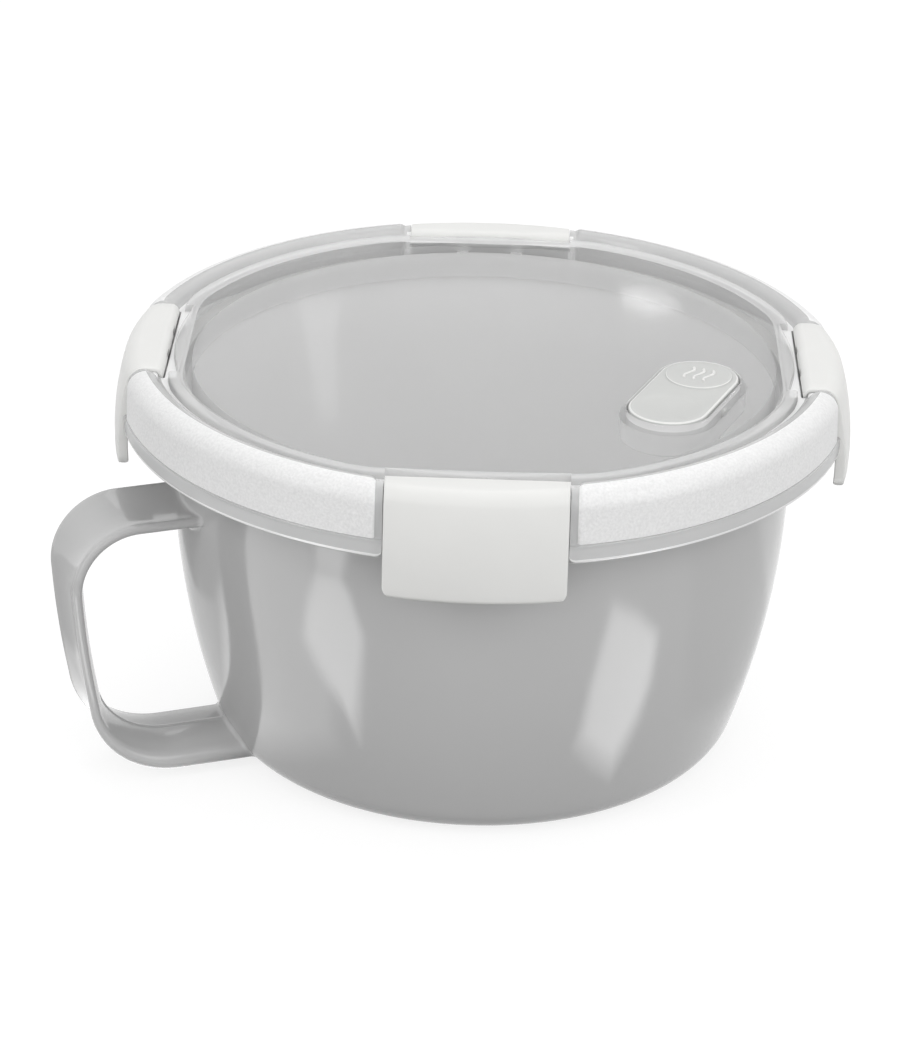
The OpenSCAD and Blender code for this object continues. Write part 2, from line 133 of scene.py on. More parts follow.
def eased(corners: Sequence[Point3], steps: int = 4) -> list[Point2]:
    """Closed outline with its corners eased by small roundings.

    Args:
        corners: Corners of the outline, each with the radius of its rounding.
        steps: Pieces in each rounding.

    Returns:
        The points of the eased outline.
    """
    points: list[Point2] = []
    count = len(corners)
    for i, (x, z, radius) in enumerate(corners):
        if radius <= 0:
            points.append((x, z))
            continue
        here = Vector((x, z))
        back = (Vector(corners[i - 1][:2]) - here).normalized()
        on = (Vector(corners[(i + 1) % count][:2]) - here).normalized()
        half = back.angle(on) / 2
        reach = radius / math.tan(half)
        centre = here + (back + on).normalized() * (radius / math.sin(half))
        first, last = here + back * reach - centre, here + on * reach - centre
        sweep = first.angle_signed(last)
        for k in range(steps + 1):
            turn = -sweep * k / steps
            points.append((centre.x + first.x * math.cos(turn) - first.y * math.sin(turn),
                           centre.y + first.x * math.sin(turn) + first.y * math.cos(turn)))
    return points


def inset(points: Sequence[Point2], depth: float) -> list[Point2]:
    """Closed outline, counted anticlockwise, drawn in by a small depth.

    Args:
        points: The outline.
        depth: How far each point moves in.

    Returns:
        The drawn-in outline, with as many points.
    """
    result: list[Point2] = []
    count = len(points)
    for i, (x, z) in enumerate(points):
        along = (Vector(points[(i + 1) % count]) - Vector(points[i - 1])).normalized()
        result.append((x - along.y * depth, z + along.x * depth))
    return result


def rounded_ends(half: float, radius: float, between: Sequence[float] = ()) -> list[Point2]:
    """Places along a bar with eased ends.

    Args:
        half: Half of the bar's length.
        radius: Rounding of its ends.
        between: Further places along it.

    Returns:
        Pairs of place and depth by which the section is drawn in there.
    """
    ease = [(half - radius + radius * math.sin(a), radius * (1 - math.cos(a)))
            for a in [math.radians(d) for d in (0, 30, 55, 75, 88)]]
    return [(-t, d) for t, d in ease[::-1]] + [(t, 0.0) for t in between] + ease


def soft_min(first: float, second: float, ease: float) -> float:
    """Smaller of two lengths, with the change from one to the other eased over a width."""
    near = max(0.0, 1 - abs(first - second) / ease)
    return min(first, second) - near ** 2 * ease / 4


def smooth(mesh: bpy.types.Mesh, crease: float) -> None:
    """Shades a mesh smoothly, apart from edges with a larger angle than crease, in degrees."""
    mesh.shade_smooth()
    mesh.set_sharp_from_angle(angle=math.radians(crease))


class Draft:
    """A mesh under construction, in millimetres."""

    def __init__(self) -> None:
        """Starts an empty mesh."""
        self.bm = bmesh.new()

    def loop(self, points: Iterable[Point3]) -> list[bmesh.types.BMVert]:
        """Adds a row of points and returns its vertices."""
        return [self.bm.verts.new(p) for p in points]

    def bridge(self, first: Sequence[bmesh.types.BMVert], second: Sequence[bmesh.types.BMVert],
               finish: Sequence[int] | int = 0) -> None:
        """Joins two rows of as many vertices, which run round, by a band of faces.

        Args:
            first: The first row.
            second: The second row.
            finish: Material number, or one number for each face.
        """
        count = len(first)
        for i in range(count):
            k = (i + 1) % count
            face = self.bm.faces.new((first[i], first[k], second[k], second[i]))
            face.material_index = finish if isinstance(finish, int) else finish[i]

    def skin(self, rows: Sequence[Iterable[Point3]], finish: int = 0,
             lead: tuple[int, int] = (0, 0)) -> None:
        """Adds rows of points that run round, and joins each to the next.

        Args:
            rows: The rows, each with as many points.
            finish: Material number.
            lead: How many bands at the start have another material, and its number.
        """
        loops = [self.loop(row) for row in rows]
        for number, (first, second) in enumerate(zip(loops, loops[1:])):
            self.bridge(first, second, lead[1] if number < lead[0] else finish)

    def turn(self, profile: Sequence[Point2], count: int, centre: Point2 = ORIGIN, finish: int = 0,
             lead: tuple[int, int] = (0, 0)) -> None:
        """Adds a turned shape.

        Args:
            profile: Radius and height along the outline.
            count: Number of steps round.
            centre: Where the axis stands.
            finish: Material number.
            lead: How many bands at the start have another material, and its number.
        """
        self.skin([ring(r, z, count, centre) for r, z in profile], finish, lead)

    def rod(self, centre: Point2, radius: float, half: float, count: int, middle: float = 0.0) -> None:
        """Adds a round bar along Y, with eased ends.

        Args:
            centre: Where its axis is, along X and Z.
            radius: Its radius.
            half: Half of its length.
            count: Number of steps round.
            middle: Where the middle of its length is.
        """
        self.skin([[(x, middle + t, z) for x, z in arc(*centre, radius - depth, 0, 360, count)[:-1]]
                   for t, depth in rounded_ends(half, ROD_EASE)])
        self.close()

    def lid_over(self, z: float) -> None:
        """Closes the open edges that lie at one height, with any holes between them left open.

        Args:
            z: The height.
        """
        self.weld()
        edges = [e for e in self.bm.edges
                 if e.is_boundary and all(abs(v.co.z - z) < WELD for v in e.verts)]
        bmesh.ops.triangle_fill(self.bm, edges=edges, use_beauty=True, normal=(0, 0, 1))

    def close(self) -> None:
        """Closes every open edge that is left, each loop on its own."""
        self.weld()
        bmesh.ops.holes_fill(self.bm, edges=[e for e in self.bm.edges if e.is_boundary], sides=0)
        bmesh.ops.triangulate(self.bm, faces=[f for f in self.bm.faces if len(f.verts) > 4])

    def place(self, matrix: Matrix) -> None:
        """Moves everything made so far by a matrix in millimetres."""
        bmesh.ops.transform(self.bm, matrix=matrix, verts=self.bm.verts)

    def weld(self) -> None:
        """Merges points that lie on each other and drops faces without area."""
        bmesh.ops.remove_doubles(self.bm, verts=self.bm.verts, dist=WELD)
        bmesh.ops.dissolve_degenerate(self.bm, edges=self.bm.edges, dist=NO_AREA)

    def mesh(self, name: str, crease: float = 35.0) -> bpy.types.Mesh:
        """Ends the draft as a mesh in metres, with outward faces and smooth shading.

        Args:
            name: Name of the mesh.
            crease: Angle in degrees above which an edge stays sharp.

        Returns:
            The mesh.
        """
        self.weld()
        bmesh.ops.recalc_face_normals(self.bm, faces=self.bm.faces)
        bmesh.ops.scale(self.bm, vec=(MM, MM, MM), verts=self.bm.verts)
        mesh = bpy.data.meshes.new(name)
        self.bm.to_mesh(mesh)
        self.bm.free()
        smooth(mesh, crease)
        return mesh


def add_object(name: str, data: Any) -> bpy.types.Object:
    """Puts an object with its data into the scene.

    Args:
        name: Name of the object.
        data: Its mesh, lamp or camera.

    Returns:
        The object.
    """
    made = bpy.data.objects.new(name, data)
    bpy.context.scene.collection.objects.link(made)
    return made


def add_piece(mesh: bpy.types.Mesh, body: Body, materials: Sequence[bpy.types.Material] = (),
              nodes: Sequence[str] = ()) -> None:
    """Puts a finished mesh into the scene as a piece of the mug, under the mesh's name.

    Args:
        mesh: Its mesh, in metres and in place.
        body: The body it moves with.
        materials: Its finishes, in the order of its faces' numbers; none where the mesh has them already.
        nodes: CAD nodes that it stands for.
    """
    for material in materials:
        mesh.materials.append(material)
    piece = add_object(mesh.name, mesh)
    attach(piece, body.value)
    if nodes:
        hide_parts(*nodes)
    LOG.info("%s: %d faces on %s", piece.name, len(mesh.polygons), body.value)


# Nodes, shared by finishes and by repeated shapes


def fresh_tree(owner: bpy.types.Material | bpy.types.World) -> bpy.types.NodeTree:
    """Empties the node tree of a material or world.

    Args:
        owner: The material or world.

    Returns:
        Its tree.
    """
    owner.use_nodes = True
    owner.node_tree.nodes.clear()
    return owner.node_tree


def add_node(tree: bpy.types.NodeTree, kind: str, inputs: dict[int | str, Any] | None = None,
             **settings: Any) -> bpy.types.Node:
    """Adds a node with its settings and links.

    Args:
        tree: Tree that gets the node.
        kind: Blender's name of the node's type.
        inputs: By name or number: values of its inputs, sockets, or nodes whose first output is linked.
        settings: Properties of the node.

    Returns:
        The node.
    """
    node = tree.nodes.new(kind)
    for name, value in settings.items():
        setattr(node, name, value)
    for key, value in (inputs or {}).items():
        if isinstance(value, bpy.types.Node):
            value = value.outputs[0]
        if isinstance(value, bpy.types.NodeSocket):
            tree.links.new(value, node.inputs[key])
        else:
            node.inputs[key].default_value = value
    return node


class Repeat:
    """A Geometry Nodes tree with named inputs, which ends as a plain mesh."""

    def __init__(self, name: str, **inputs: str) -> None:
        """Starts the tree, which always has a Geometry and a Material among its inputs.

        Args:
            name: Name of the tree.
            inputs: Socket type of each further input, without Blender's prefix.
        """
        self.tree = bpy.data.node_groups.new(name, "GeometryNodeTree")
        sockets = {"Geometry": "Geometry", **inputs, "Material": "Material"}
        for title, kind in sockets.items():
            self.tree.interface.new_socket(title, in_out="INPUT", socket_type="NodeSocket" + kind)
        self.tree.interface.new_socket("Geometry", in_out="OUTPUT", socket_type="NodeSocketGeometry")
        self.given = self.add("NodeGroupInput").outputs

    def add(self, kind: str, inputs: dict[int | str, Any] | None = None, **settings: Any) -> bpy.types.Node:
        """Adds a node to the tree, as add_node does."""
        return add_node(self.tree, kind, inputs, **settings)

    def end(self, shape: bpy.types.Node) -> None:
        """Ends the tree: real geometry, and one material.

        Args:
            shape: Node that gives the shape.
        """
        real = self.add("GeometryNodeRealizeInstances", {"Geometry": shape})
        dressed = self.add("GeometryNodeSetMaterial",
                           {"Geometry": real, "Material": self.given["Material"]})
        self.add("NodeGroupOutput", {0: dressed})

    def mesh(self, name: str, source: bpy.types.Mesh | None = None, **values: Any) -> bpy.types.Mesh:
        """Runs the tree once.

        Args:
            name: Name of the new mesh.
            source: Mesh that the tree starts from, if any.
            values: Values of the named inputs.

        Returns:
            The result as a plain mesh.
        """
        holder = add_object(name, source or bpy.data.meshes.new(name + "_seed"))
        modifier = holder.modifiers.new("shape", "NODES")
        modifier.node_group = self.tree
        for item in self.tree.interface.items_tree:
            if item.in_out == "INPUT" and item.name in values:
                modifier[item.identifier] = values[item.name]
        ready = holder.evaluated_get(bpy.context.evaluated_depsgraph_get())
        mesh = bpy.data.meshes.new_from_object(ready)
        mesh.name = name
        holder.modifiers.remove(modifier)
        bpy.data.objects.remove(holder)
        return mesh


# Finishes


def linear(code: str) -> Colour:
    """Colour of an sRGB hex value, in linear light.

    Args:
        code: Six hex digits after a hash sign.

    Returns:
        Red, green, blue and an alpha of 1.
    """
    parts = [int(code[i:i + 2], 16) / 255 for i in (1, 3, 5)]
    red, green, blue = (c / 12.92 if c <= 0.04045 else ((c + 0.055) / 1.055) ** 2.4 for c in parts)
    return red, green, blue, 1.0


PURE_WHITE = linear("#FFFFFF")


def per_metre(size: float) -> float:
    """Scale of a pattern whose features are size millimetres wide."""
    return 1 / (size * MM)


@dataclass(frozen=True)
class Plastic:
    """A moulded plastic: two shades that drift into each other, a gloss that varies, and a fine relief.

    Attributes:
        name: The material's common name and how its surface was made.
        shade: Main colour.
        drift: Colour of the paler drifts left by the flow of the melt.
        flow: Width of those drifts.
        gloss: Lowest and highest roughness.
        gloss_size: Width of the patches in which the gloss varies.
        relief_size: Width of the surface's bumps.
        relief: Height of the surface's bumps.
        ior: Index of refraction.
        alpha: How much of the light the surface holds back.
        scatter: Share of light that spreads inside the wall.
        scatter_depth: How far it spreads.
    """

    name: str
    shade: str
    drift: str
    flow: float
    gloss: tuple[float, float]
    relief_size: float
    relief: float
    gloss_size: float = 14.0
    ior: float = 1.49
    alpha: float = 1.0
    scatter: float = 0.0
    scatter_depth: float = 1.0

    def material(self) -> bpy.types.Material:
        """Makes the material.

        Returns:
            The material, with all patterns on Object coordinates.
        """
        made = bpy.data.materials.new(self.name)
        tree = fresh_tree(made)
        place = add_node(tree, "ShaderNodeTexCoord").outputs["Object"]
        flow = add_node(tree, "ShaderNodeTexNoise",
                        {"Vector": place, "Scale": per_metre(self.flow), "Detail": 3.0, "Roughness": 0.55})
        colour = add_node(tree, "ShaderNodeMix", {0: flow, 6: linear(self.shade), 7: linear(self.drift)},
                          data_type="RGBA")
        patches = add_node(tree, "ShaderNodeTexNoise",
                           {"Vector": place, "Scale": per_metre(self.gloss_size), "Detail": 4.0})
        rough = add_node(tree, "ShaderNodeMapRange",
                         {0: patches, 1: NOISE_LOW, 2: NOISE_HIGH, 3: self.gloss[0], 4: self.gloss[1]})
        grains = add_node(tree, "ShaderNodeTexNoise",
                          {"Vector": place, "Scale": per_metre(self.relief_size), "Detail": 2.0})
        relief = add_node(tree, "ShaderNodeBump",
                          {"Strength": 1.0, "Distance": self.relief * MM, "Height": grains})
        surface = add_node(tree, "ShaderNodeBsdfPrincipled",
                           {"Base Color": colour.outputs[2], "Roughness": rough, "Normal": relief,
                            "IOR": self.ior, "Alpha": self.alpha, "Subsurface Weight": self.scatter,
                            "Subsurface Scale": self.scatter_depth * MM,
                            "Subsurface Radius": (1.0, 1.0, 1.0)})
        add_node(tree, "ShaderNodeOutputMaterial", {"Surface": surface})
        return made


# Polypropylene moulded in a polished tool: mirror-like streaks over a body that is grey all through,
# with the long soft waves of the tool's polishing.
GREY_PP = Plastic("polypropylene_grey_polished", "#BDBDBD", "#C2C2C2", flow=45, gloss=(0.08, 0.14),
                  relief_size=9, relief=0.004)
# The same plastic inside the bowl, where the tool was only blasted: satin. Its colour is painted paler
# than the outside, as painted light, because the lid's haze darkens what is seen through it.
PALE_PP = Plastic("polypropylene_grey_blasted_painted_light", "#DEDEDE", "#E2E2E2", flow=45, gloss=(0.35, 0.5),
                  relief_size=0.8, relief=0.004)
# Clear polypropylene, which is never quite clear: a faint haze, and a soft shine.
CLEAR_PP = Plastic("polypropylene_clear_moulded", "#F6F6F6", "#FCFCFC", flow=25, gloss=(0.04, 0.07),
                   relief_size=14, relief=0.0008, alpha=0.18, ior=1.6)
# The same plastic at the panel's raised edge, the rim's inner slope and the cup: two walls deep, and so
# a little whiter. Its whiter, less clear colour is partly painted light that lifts these places out of
# shade.
BEAD_PP = Plastic("polypropylene_clear_bead", "#EAEAEA", "#F0F0F0", flow=25, gloss=(0.12, 0.2),
                  relief_size=6, relief=0.003, alpha=0.55, ior=1.6)
# The same plastic from a tool with a spark-eroded grain: frosted white with a faint glitter.
# The real grain is about 0.15 mm wide, and is drawn wider so that it shows in the render.
FROSTED_PP = Plastic("polypropylene_clear_spark_grain", "#DEDEDE", "#FFFFFF", flow=0.6, gloss=(0.32, 0.46),
                     gloss_size=0.9, relief_size=0.5, relief=0.09, alpha=0.96)
# Clear wall at the skirt: smooth, and greyer than the panel, a grey that is painted shade for the dark
# behind it.
SKIRT_PP = Plastic("polypropylene_clear_skirt_painted_shade", "#D2D3D3", "#DADADA", flow=25, gloss=(0.12, 0.2),
                   relief_size=6, relief=0.004, alpha=0.72, ior=1.6)
# The same plastic in the gasket's ribs, where light from the side is lost: a grey band behind the
# panel's edge, whose grey colour is painted shade.
RIB_PP = Plastic("polypropylene_clear_rib_painted_shade", "#DADADA", "#E2E2E2", flow=25, gloss=(0.15, 0.25),
                 relief_size=6, relief=0.003, alpha=0.7)
# The same plastic where it is thick or seen edge on, drawn nearly opaque white as painted light: the glow
# of light gathered in it, a painted bright line at the skirt's lower edge, and lit groove, cup mouth and
# hinges.
EDGE_GLOW_PP = Plastic("polypropylene_clear_edge_painted_glow", "#F8F8F8", "#FFFFFF", flow=25, gloss=(0.12, 0.2),
                  relief_size=6, relief=0.003, alpha=0.94, ior=1.55)
# White polypropylene with the fine satin of a vapour-blasted tool, slightly see-through at its edges.
WHITE_PP = Plastic("polypropylene_white_satin", "#E2E2E0", "#E8E8E6", flow=20, gloss=(0.34, 0.46),
                   gloss_size=6, relief_size=0.6, relief=0.006, scatter=0.15, scatter_depth=1.5)
# Milky, unpigmented polypropylene in a thin flap: light passes a short way in and softens every edge.
MILKY_PP = Plastic("polypropylene_milky_satin", "#C4C5C3", "#CBCCCA", flow=15, gloss=(0.3, 0.42),
                   gloss_size=6, relief_size=0.6, relief=0.005, scatter=0.25, scatter_depth=1.8)
# The same plastic at the flap's rounded edges and in its raised sign, drawn whiter as painted light: the
# glow of light gathered there.
MILKY_EDGE_PP = Plastic("polypropylene_milky_edge_painted_glow", "#E6E6E4", "#ECECEA", flow=15, gloss=(0.25, 0.35),
                        gloss_size=6, relief_size=0.6, relief=0.004, scatter=0.25, scatter_depth=1.8)
# Silicone rubber, press moulded: dull, soft-looking and slightly cloudy.
SILICONE = Plastic("silicone_rubber_pressed", "#E2E2DE", "#EBEBE8", flow=8, gloss=(0.5, 0.65), gloss_size=5,
                   relief_size=0.8, relief=0.01, ior=1.41, scatter=0.2, scatter_depth=1.2)


# The mug


@dataclass
class Bowl:
    """Bowl with its rounded foot, bellied wall, latch flange and rim."""

    height: float = 86.0
    radius: float = 70.3
    wall: float = 2.4
    floor: float = 2.6
    belly: float = 190.0
    belly_top: float = 66.0
    foot_round: float = 10.0
    foot_centre: float = 51.37
    foot_angle: float = -18.1
    inner_short: float = 0.6
    flange_radius: float = 79.3
    flange_low: float = 76.4
    flange_thick: float = 2.2
    flange_round: float = 0.7
    flange_fillet: float = 2.2
    neck_fillet: float = 1.0
    rim_round: float = 0.9
    gate: tuple[Point2, ...] = ((0, 0.4), (2.4, 0.4), (2.9, 0.5), (3.2, 0.7))
    foot: tuple[Point2, ...] = ((38.0, 0.7), (39.2, 0.62), (40.2, 0.35), (41.0, 0.09), (42.2, 0.0),
                                (46.0, 0.0))
    segments: int = 256

    def outside(self, z: float) -> float:
        """Radius of the outer wall.

        Args:
            z: Height between the table and the flange.

        Returns:
            The radius there.
        """
        if z >= self.belly_top:
            return self.radius
        low = self.foot_round * (1 + math.sin(math.radians(self.foot_angle)))
        if z <= low:
            return self.foot_centre + math.sqrt(max(0.0, self.foot_round ** 2 - (self.foot_round - z) ** 2))
        return self.radius - self.belly + math.sqrt(self.belly ** 2 - (self.belly_top - z) ** 2)

    def profile(self) -> tuple[list[Point2], list[Point2]]:
        """Outline of the bowl.

        Returns:
            Its outside, from the middle of the foot to the rim's top, and its inside, from there to the
            middle of the floor.
        """
        belly_x = self.radius - self.belly
        inner = self.radius - self.wall
        low, top = self.flange_low, self.flange_low + self.flange_thick
        fillet, edge, neck, lip = self.flange_fillet, self.flange_round, self.neck_fillet, self.rim_round
        side = (arc(self.foot_centre, self.foot_round, self.foot_round, -90, self.foot_angle, 14)
                + arc(belly_x, self.belly_top, self.belly, self.foot_angle, 0, 30)[1:])
        flange = (arc(self.radius + fillet, low - fillet, fillet, 180, 90, 6) + [(75.5, low)]
                  + arc(self.flange_radius - edge, low + edge, edge, -90, 0, 5)
                  + arc(self.flange_radius - edge, top - edge, edge, 0, 90, 5) + [(75.0, top)]
                  + arc(self.radius + neck, top + neck, neck, -90, -180, 4))
        rim = arc(self.radius - lip, self.height - lip, lip, 0, 90, 5)
        inside = (arc(inner + lip, self.height - lip, lip, 90, 180, 5)
                  + arc(belly_x, self.belly_top, self.belly - self.wall, 0,
                        self.foot_angle + self.inner_short, 30)
                  + arc(self.foot_centre, self.foot_round + self.floor - self.wall,
                        self.foot_round - self.wall, self.foot_angle, -90, 12))
        outside = [*self.gate, *self.foot, *side, *flange, *rim]
        return outside, inside + [(30.0, self.floor), (0, self.floor)]

    def build(self, materials: Sequence[bpy.types.Material]) -> None:
        """Turns the outline into the bowl.

        Args:
            materials: Finishes of its outside and its inside.
        """
        outside, inside = self.profile()
        draft = Draft()
        draft.turn(outside + inside, self.segments, finish=1, lead=(len(outside), 0))
        add_piece(draft.mesh("bowl_shell"), Body.MUG, materials, ["bowl"])


@dataclass
class Handle:
    """Strap handle with a dished outer face, a swollen inner face and a fine parting ridge."""

    bowl: Bowl
    top: float = 64.6
    bottom: float = 1.9
    reach: float = 98.9
    half: float = 11.0
    edge: float = 2.2
    foot_edge: float = 4.6
    dish: float = 1.3
    grip_swell: float = 1.9
    root_swell: float = 3.0
    foot_swell: float = 1.4
    bow: float = 0.4
    top_round: float = 15.5
    bottom_round: float = 21.0
    lean: float = 7.0
    ridge: float = 0.25
    ridge_half: float = 0.4
    root_round: float = 1.3
    root_lift: float = 0.8
    root_corner: int = 6
    root_rows: tuple[float, ...] = (6.0, 2.5, 1.3, 0.9, 0.55, 0.28, 0.1, 0.0, -1.0)
    root_free: float = 5.0
    table_gap: float = 0.5
    bend_steps: int = 28
    grip_steps: int = 14
    face_steps: int = 16
    edge_steps: int = 8
    ridge_steps: int = 3

    def section(self, angle: float) -> list[Point2]:
        """Section of the strap: place across it, and depth below its outer edge.

        Args:
            angle: Angle of the strap's outward side, in degrees.

        Returns:
            The section's points, in order round it.
        """
        bend = max(0.0, (-angle - self.lean) / (90 - self.lean))
        low = bend ** 2 * (3 - 2 * bend)
        edge = self.edge + (self.foot_edge - self.edge) * low
        far, share = self.foot_swell, low
        if angle > 0:
            far, share = self.root_swell, math.sin(math.radians(angle)) ** 2
        swell = self.grip_swell + (far - self.grip_swell) * share
        half = self.half - edge / 2
        places = [half * (2 * i / self.face_steps - 1) for i in range(self.face_steps + 1)]
        steps = self.ridge_steps
        fine = places + [self.ridge_half * k / steps for k in range(-steps, steps + 1) if k]
        outer = [(w, -self.dish * (1 - (w / half) ** 2)) for w in places]
        inner = []
        for w in sorted(fine, reverse=True):
            rise = self.ridge * max(0.0, 1 - abs(w) / self.ridge_half)
            inner.append((w, -edge - swell * (1 - (w / half) ** 2) - rise))
        right = arc(half, -edge / 2, edge / 2, 90, -90, self.edge_steps)[1:-1]
        left = arc(-half, -edge / 2, edge / 2, -90, -270, self.edge_steps)[1:-1]
        return outer + right + inner + left

    def bend(self, x: float, z: float, radius: float, start: float, end: float) -> list[Point3]:
        """Rounded stretch of the strap's path.

        Args:
            x: Distance of the rounding's centre from the bowl's axis.
            z: Height of that centre.
            radius: Radius of the rounding.
            start: Its first angle, in degrees.
            end: Its last angle, in degrees.

        Returns:
            Distance from the axis, height and angle of each point.
        """
        steps = self.bend_steps
        return [(*point, start + (end - start) * i / steps)
                for i, point in enumerate(arc(x, z, radius, start, end, steps))]

    def path(self) -> list[Point3]:
        """Outer edge of the strap, from its upper to its lower arm.

        Returns:
            Distance from the axis, height, and angle of the outward side of each point.
        """
        lean = math.radians(self.lean)
        top_x = self.reach - self.top_round * (1 - math.cos(lean))
        top_z = self.top - self.top_round * (1 + math.sin(lean))
        low_z = self.bottom + self.bottom_round * (1 - math.sin(lean))
        low_x = top_x - (top_z - low_z) * math.tan(lean)
        low_centre = low_x - self.bottom_round * math.cos(lean)
        upper = self.bend(self.reach - self.top_round, self.top - self.top_round, self.top_round,
                          90, -self.lean)
        lower = self.bend(low_centre, self.bottom + self.bottom_round, self.bottom_round, -self.lean, -90)
        grip = []
        for t in [i / self.grip_steps for i in range(1, self.grip_steps)]:
            x = top_x + (low_x - top_x) * t + 4 * self.bow * t * (1 - t)
            grip.append((x, top_z + (low_z - top_z) * t, -self.lean))
        return upper + grip + lower

    def ring_at(self, place: Point3) -> list[Point3]:
        """Section of the strap at a place on its path.

        Args:
            place: Distance from the axis, height, and outward angle.

        Returns:
            The points of that section.
        """
        rho, z, angle = place
        turn = math.radians(angle)
        return [(-rho - s * math.cos(turn), w, z + s * math.sin(turn)) for w, s in self.section(angle)]

    def root(self, start: list[Point3], upper: bool) -> list[list[Point3]]:
        """Rows that run from the last free section into the bowl's wall, flared by a moulded rounding.

        Args:
            start: The last free section.
            upper: Whether this is the upper root.

        Returns:
            The rows, from the strap to the wall.
        """
        middle = sum(p[2] for p in start) / len(start)
        rows: list[list[Point3]] = []
        for away in self.root_rows:
            short = max(0.0, 1 - max(away, 0.0) / self.root_round)
            flare = self.root_round * (1 - math.sqrt(1 - short ** 2))
            row = []
            for x, y, z in start:
                lift = flare * (1 - (abs(y) / self.half) ** self.root_corner) * self.root_lift
                y2 = y + flare * y / self.half
                z2 = max(z + (lift if z > middle else -lift), self.table_gap)
                wall = math.sqrt((self.bowl.outside(z2) + away) ** 2 - y2 ** 2)
                row.append((max(-wall, x) if not upper and away > self.root_free else -wall, y2, z2))
            rows.append(row)
        return rows

    def build(self, material: bpy.types.Material) -> None:
        """Sweeps the section along the strap's path and roots both ends in the bowl.

        Args:
            material: Its finish.
        """
        free = [self.ring_at(p) for p in self.path()]
        draft = Draft()
        draft.skin(self.root(free[0], True)[::-1] + free + self.root(free[-1], False))
        draft.close()
        add_piece(draft.mesh("strap_handle", 50), Body.MUG, [material], ["handle"])


# The lid


class Zone(IntEnum):
    """Stretches of the lid's edge, seen from the middle of a clip."""

    NOTCH = 0
    WALL = 1
    PAD = 2


class LidFinish(IntEnum):
    """Numbers of the lid's finishes on its faces."""

    CLEAR = 0
    FROSTED = 1
    # SKIRT and RIB carry painted shade, EDGE painted light, and BEAD partly painted light.
    SKIRT = 2
    EDGE = 3
    BEAD = 4
    RIB = 5


class RimRow(IntEnum):
    """Rows, counted from the groove outwards, at which the finish of the lid's edge changes."""

    # The fold rows round the groove and the rows from LIP_START on get the edge finish's painted light,
    # which makes a painted bright line at the skirt's lower edge.
    FOLD_START = -2
    FOLD_END = 2
    SLOPE_END = 11
    FROST_END = 31
    LIP_START = 40


@dataclass(frozen=True)
class Column:
    """One direction round the lid in which its outline is drawn.

    Attributes:
        quarter: Number of the clip it is counted from.
        side: Which side of that clip, -1 or 1.
        across: Distance from the clip's middle line, at most that of the pad's full height.
        spread: Share of the way from there to the pad's middle.
        zone: Stretch that it lies in.
        pad: Share of the pad's full height.
    """

    quarter: int
    side: int
    across: float
    spread: float
    zone: Zone
    pad: float

    def swing(self, radius: float, across: float | None = None) -> float:
        """Angle from the clip's middle line at a distance from the lid's axis."""
        own = math.asin((self.across if across is None else across) / radius)
        return own * (1 - self.spread) + math.pi / 4 * self.spread

    def at(self, radius: float, z: float, across: float | None = None) -> Point3:
        """Point in this direction, at a distance from the lid's axis.

        Args:
            radius: That distance.
            z: Height of the point.
            across: Distance from the clip's middle line, where it isn't the column's own.

        Returns:
            The point in the lid's frame.
        """
        angle = self.side * self.swing(radius, across) + self.quarter * math.pi / 2
        return radius * math.cos(angle), radius * math.sin(angle), z

    def out(self, u: float, z: float) -> Point3:
        """Point beside the clip's middle line, across from it by the column's own distance.

        Args:
            u: Distance along that line.
            z: Height of the point.

        Returns:
            The point in the lid's frame.
        """
        turn = self.quarter * math.pi / 2
        t = self.side * self.across
        return u * math.cos(turn) - t * math.sin(turn), u * math.sin(turn) + t * math.cos(turn), z


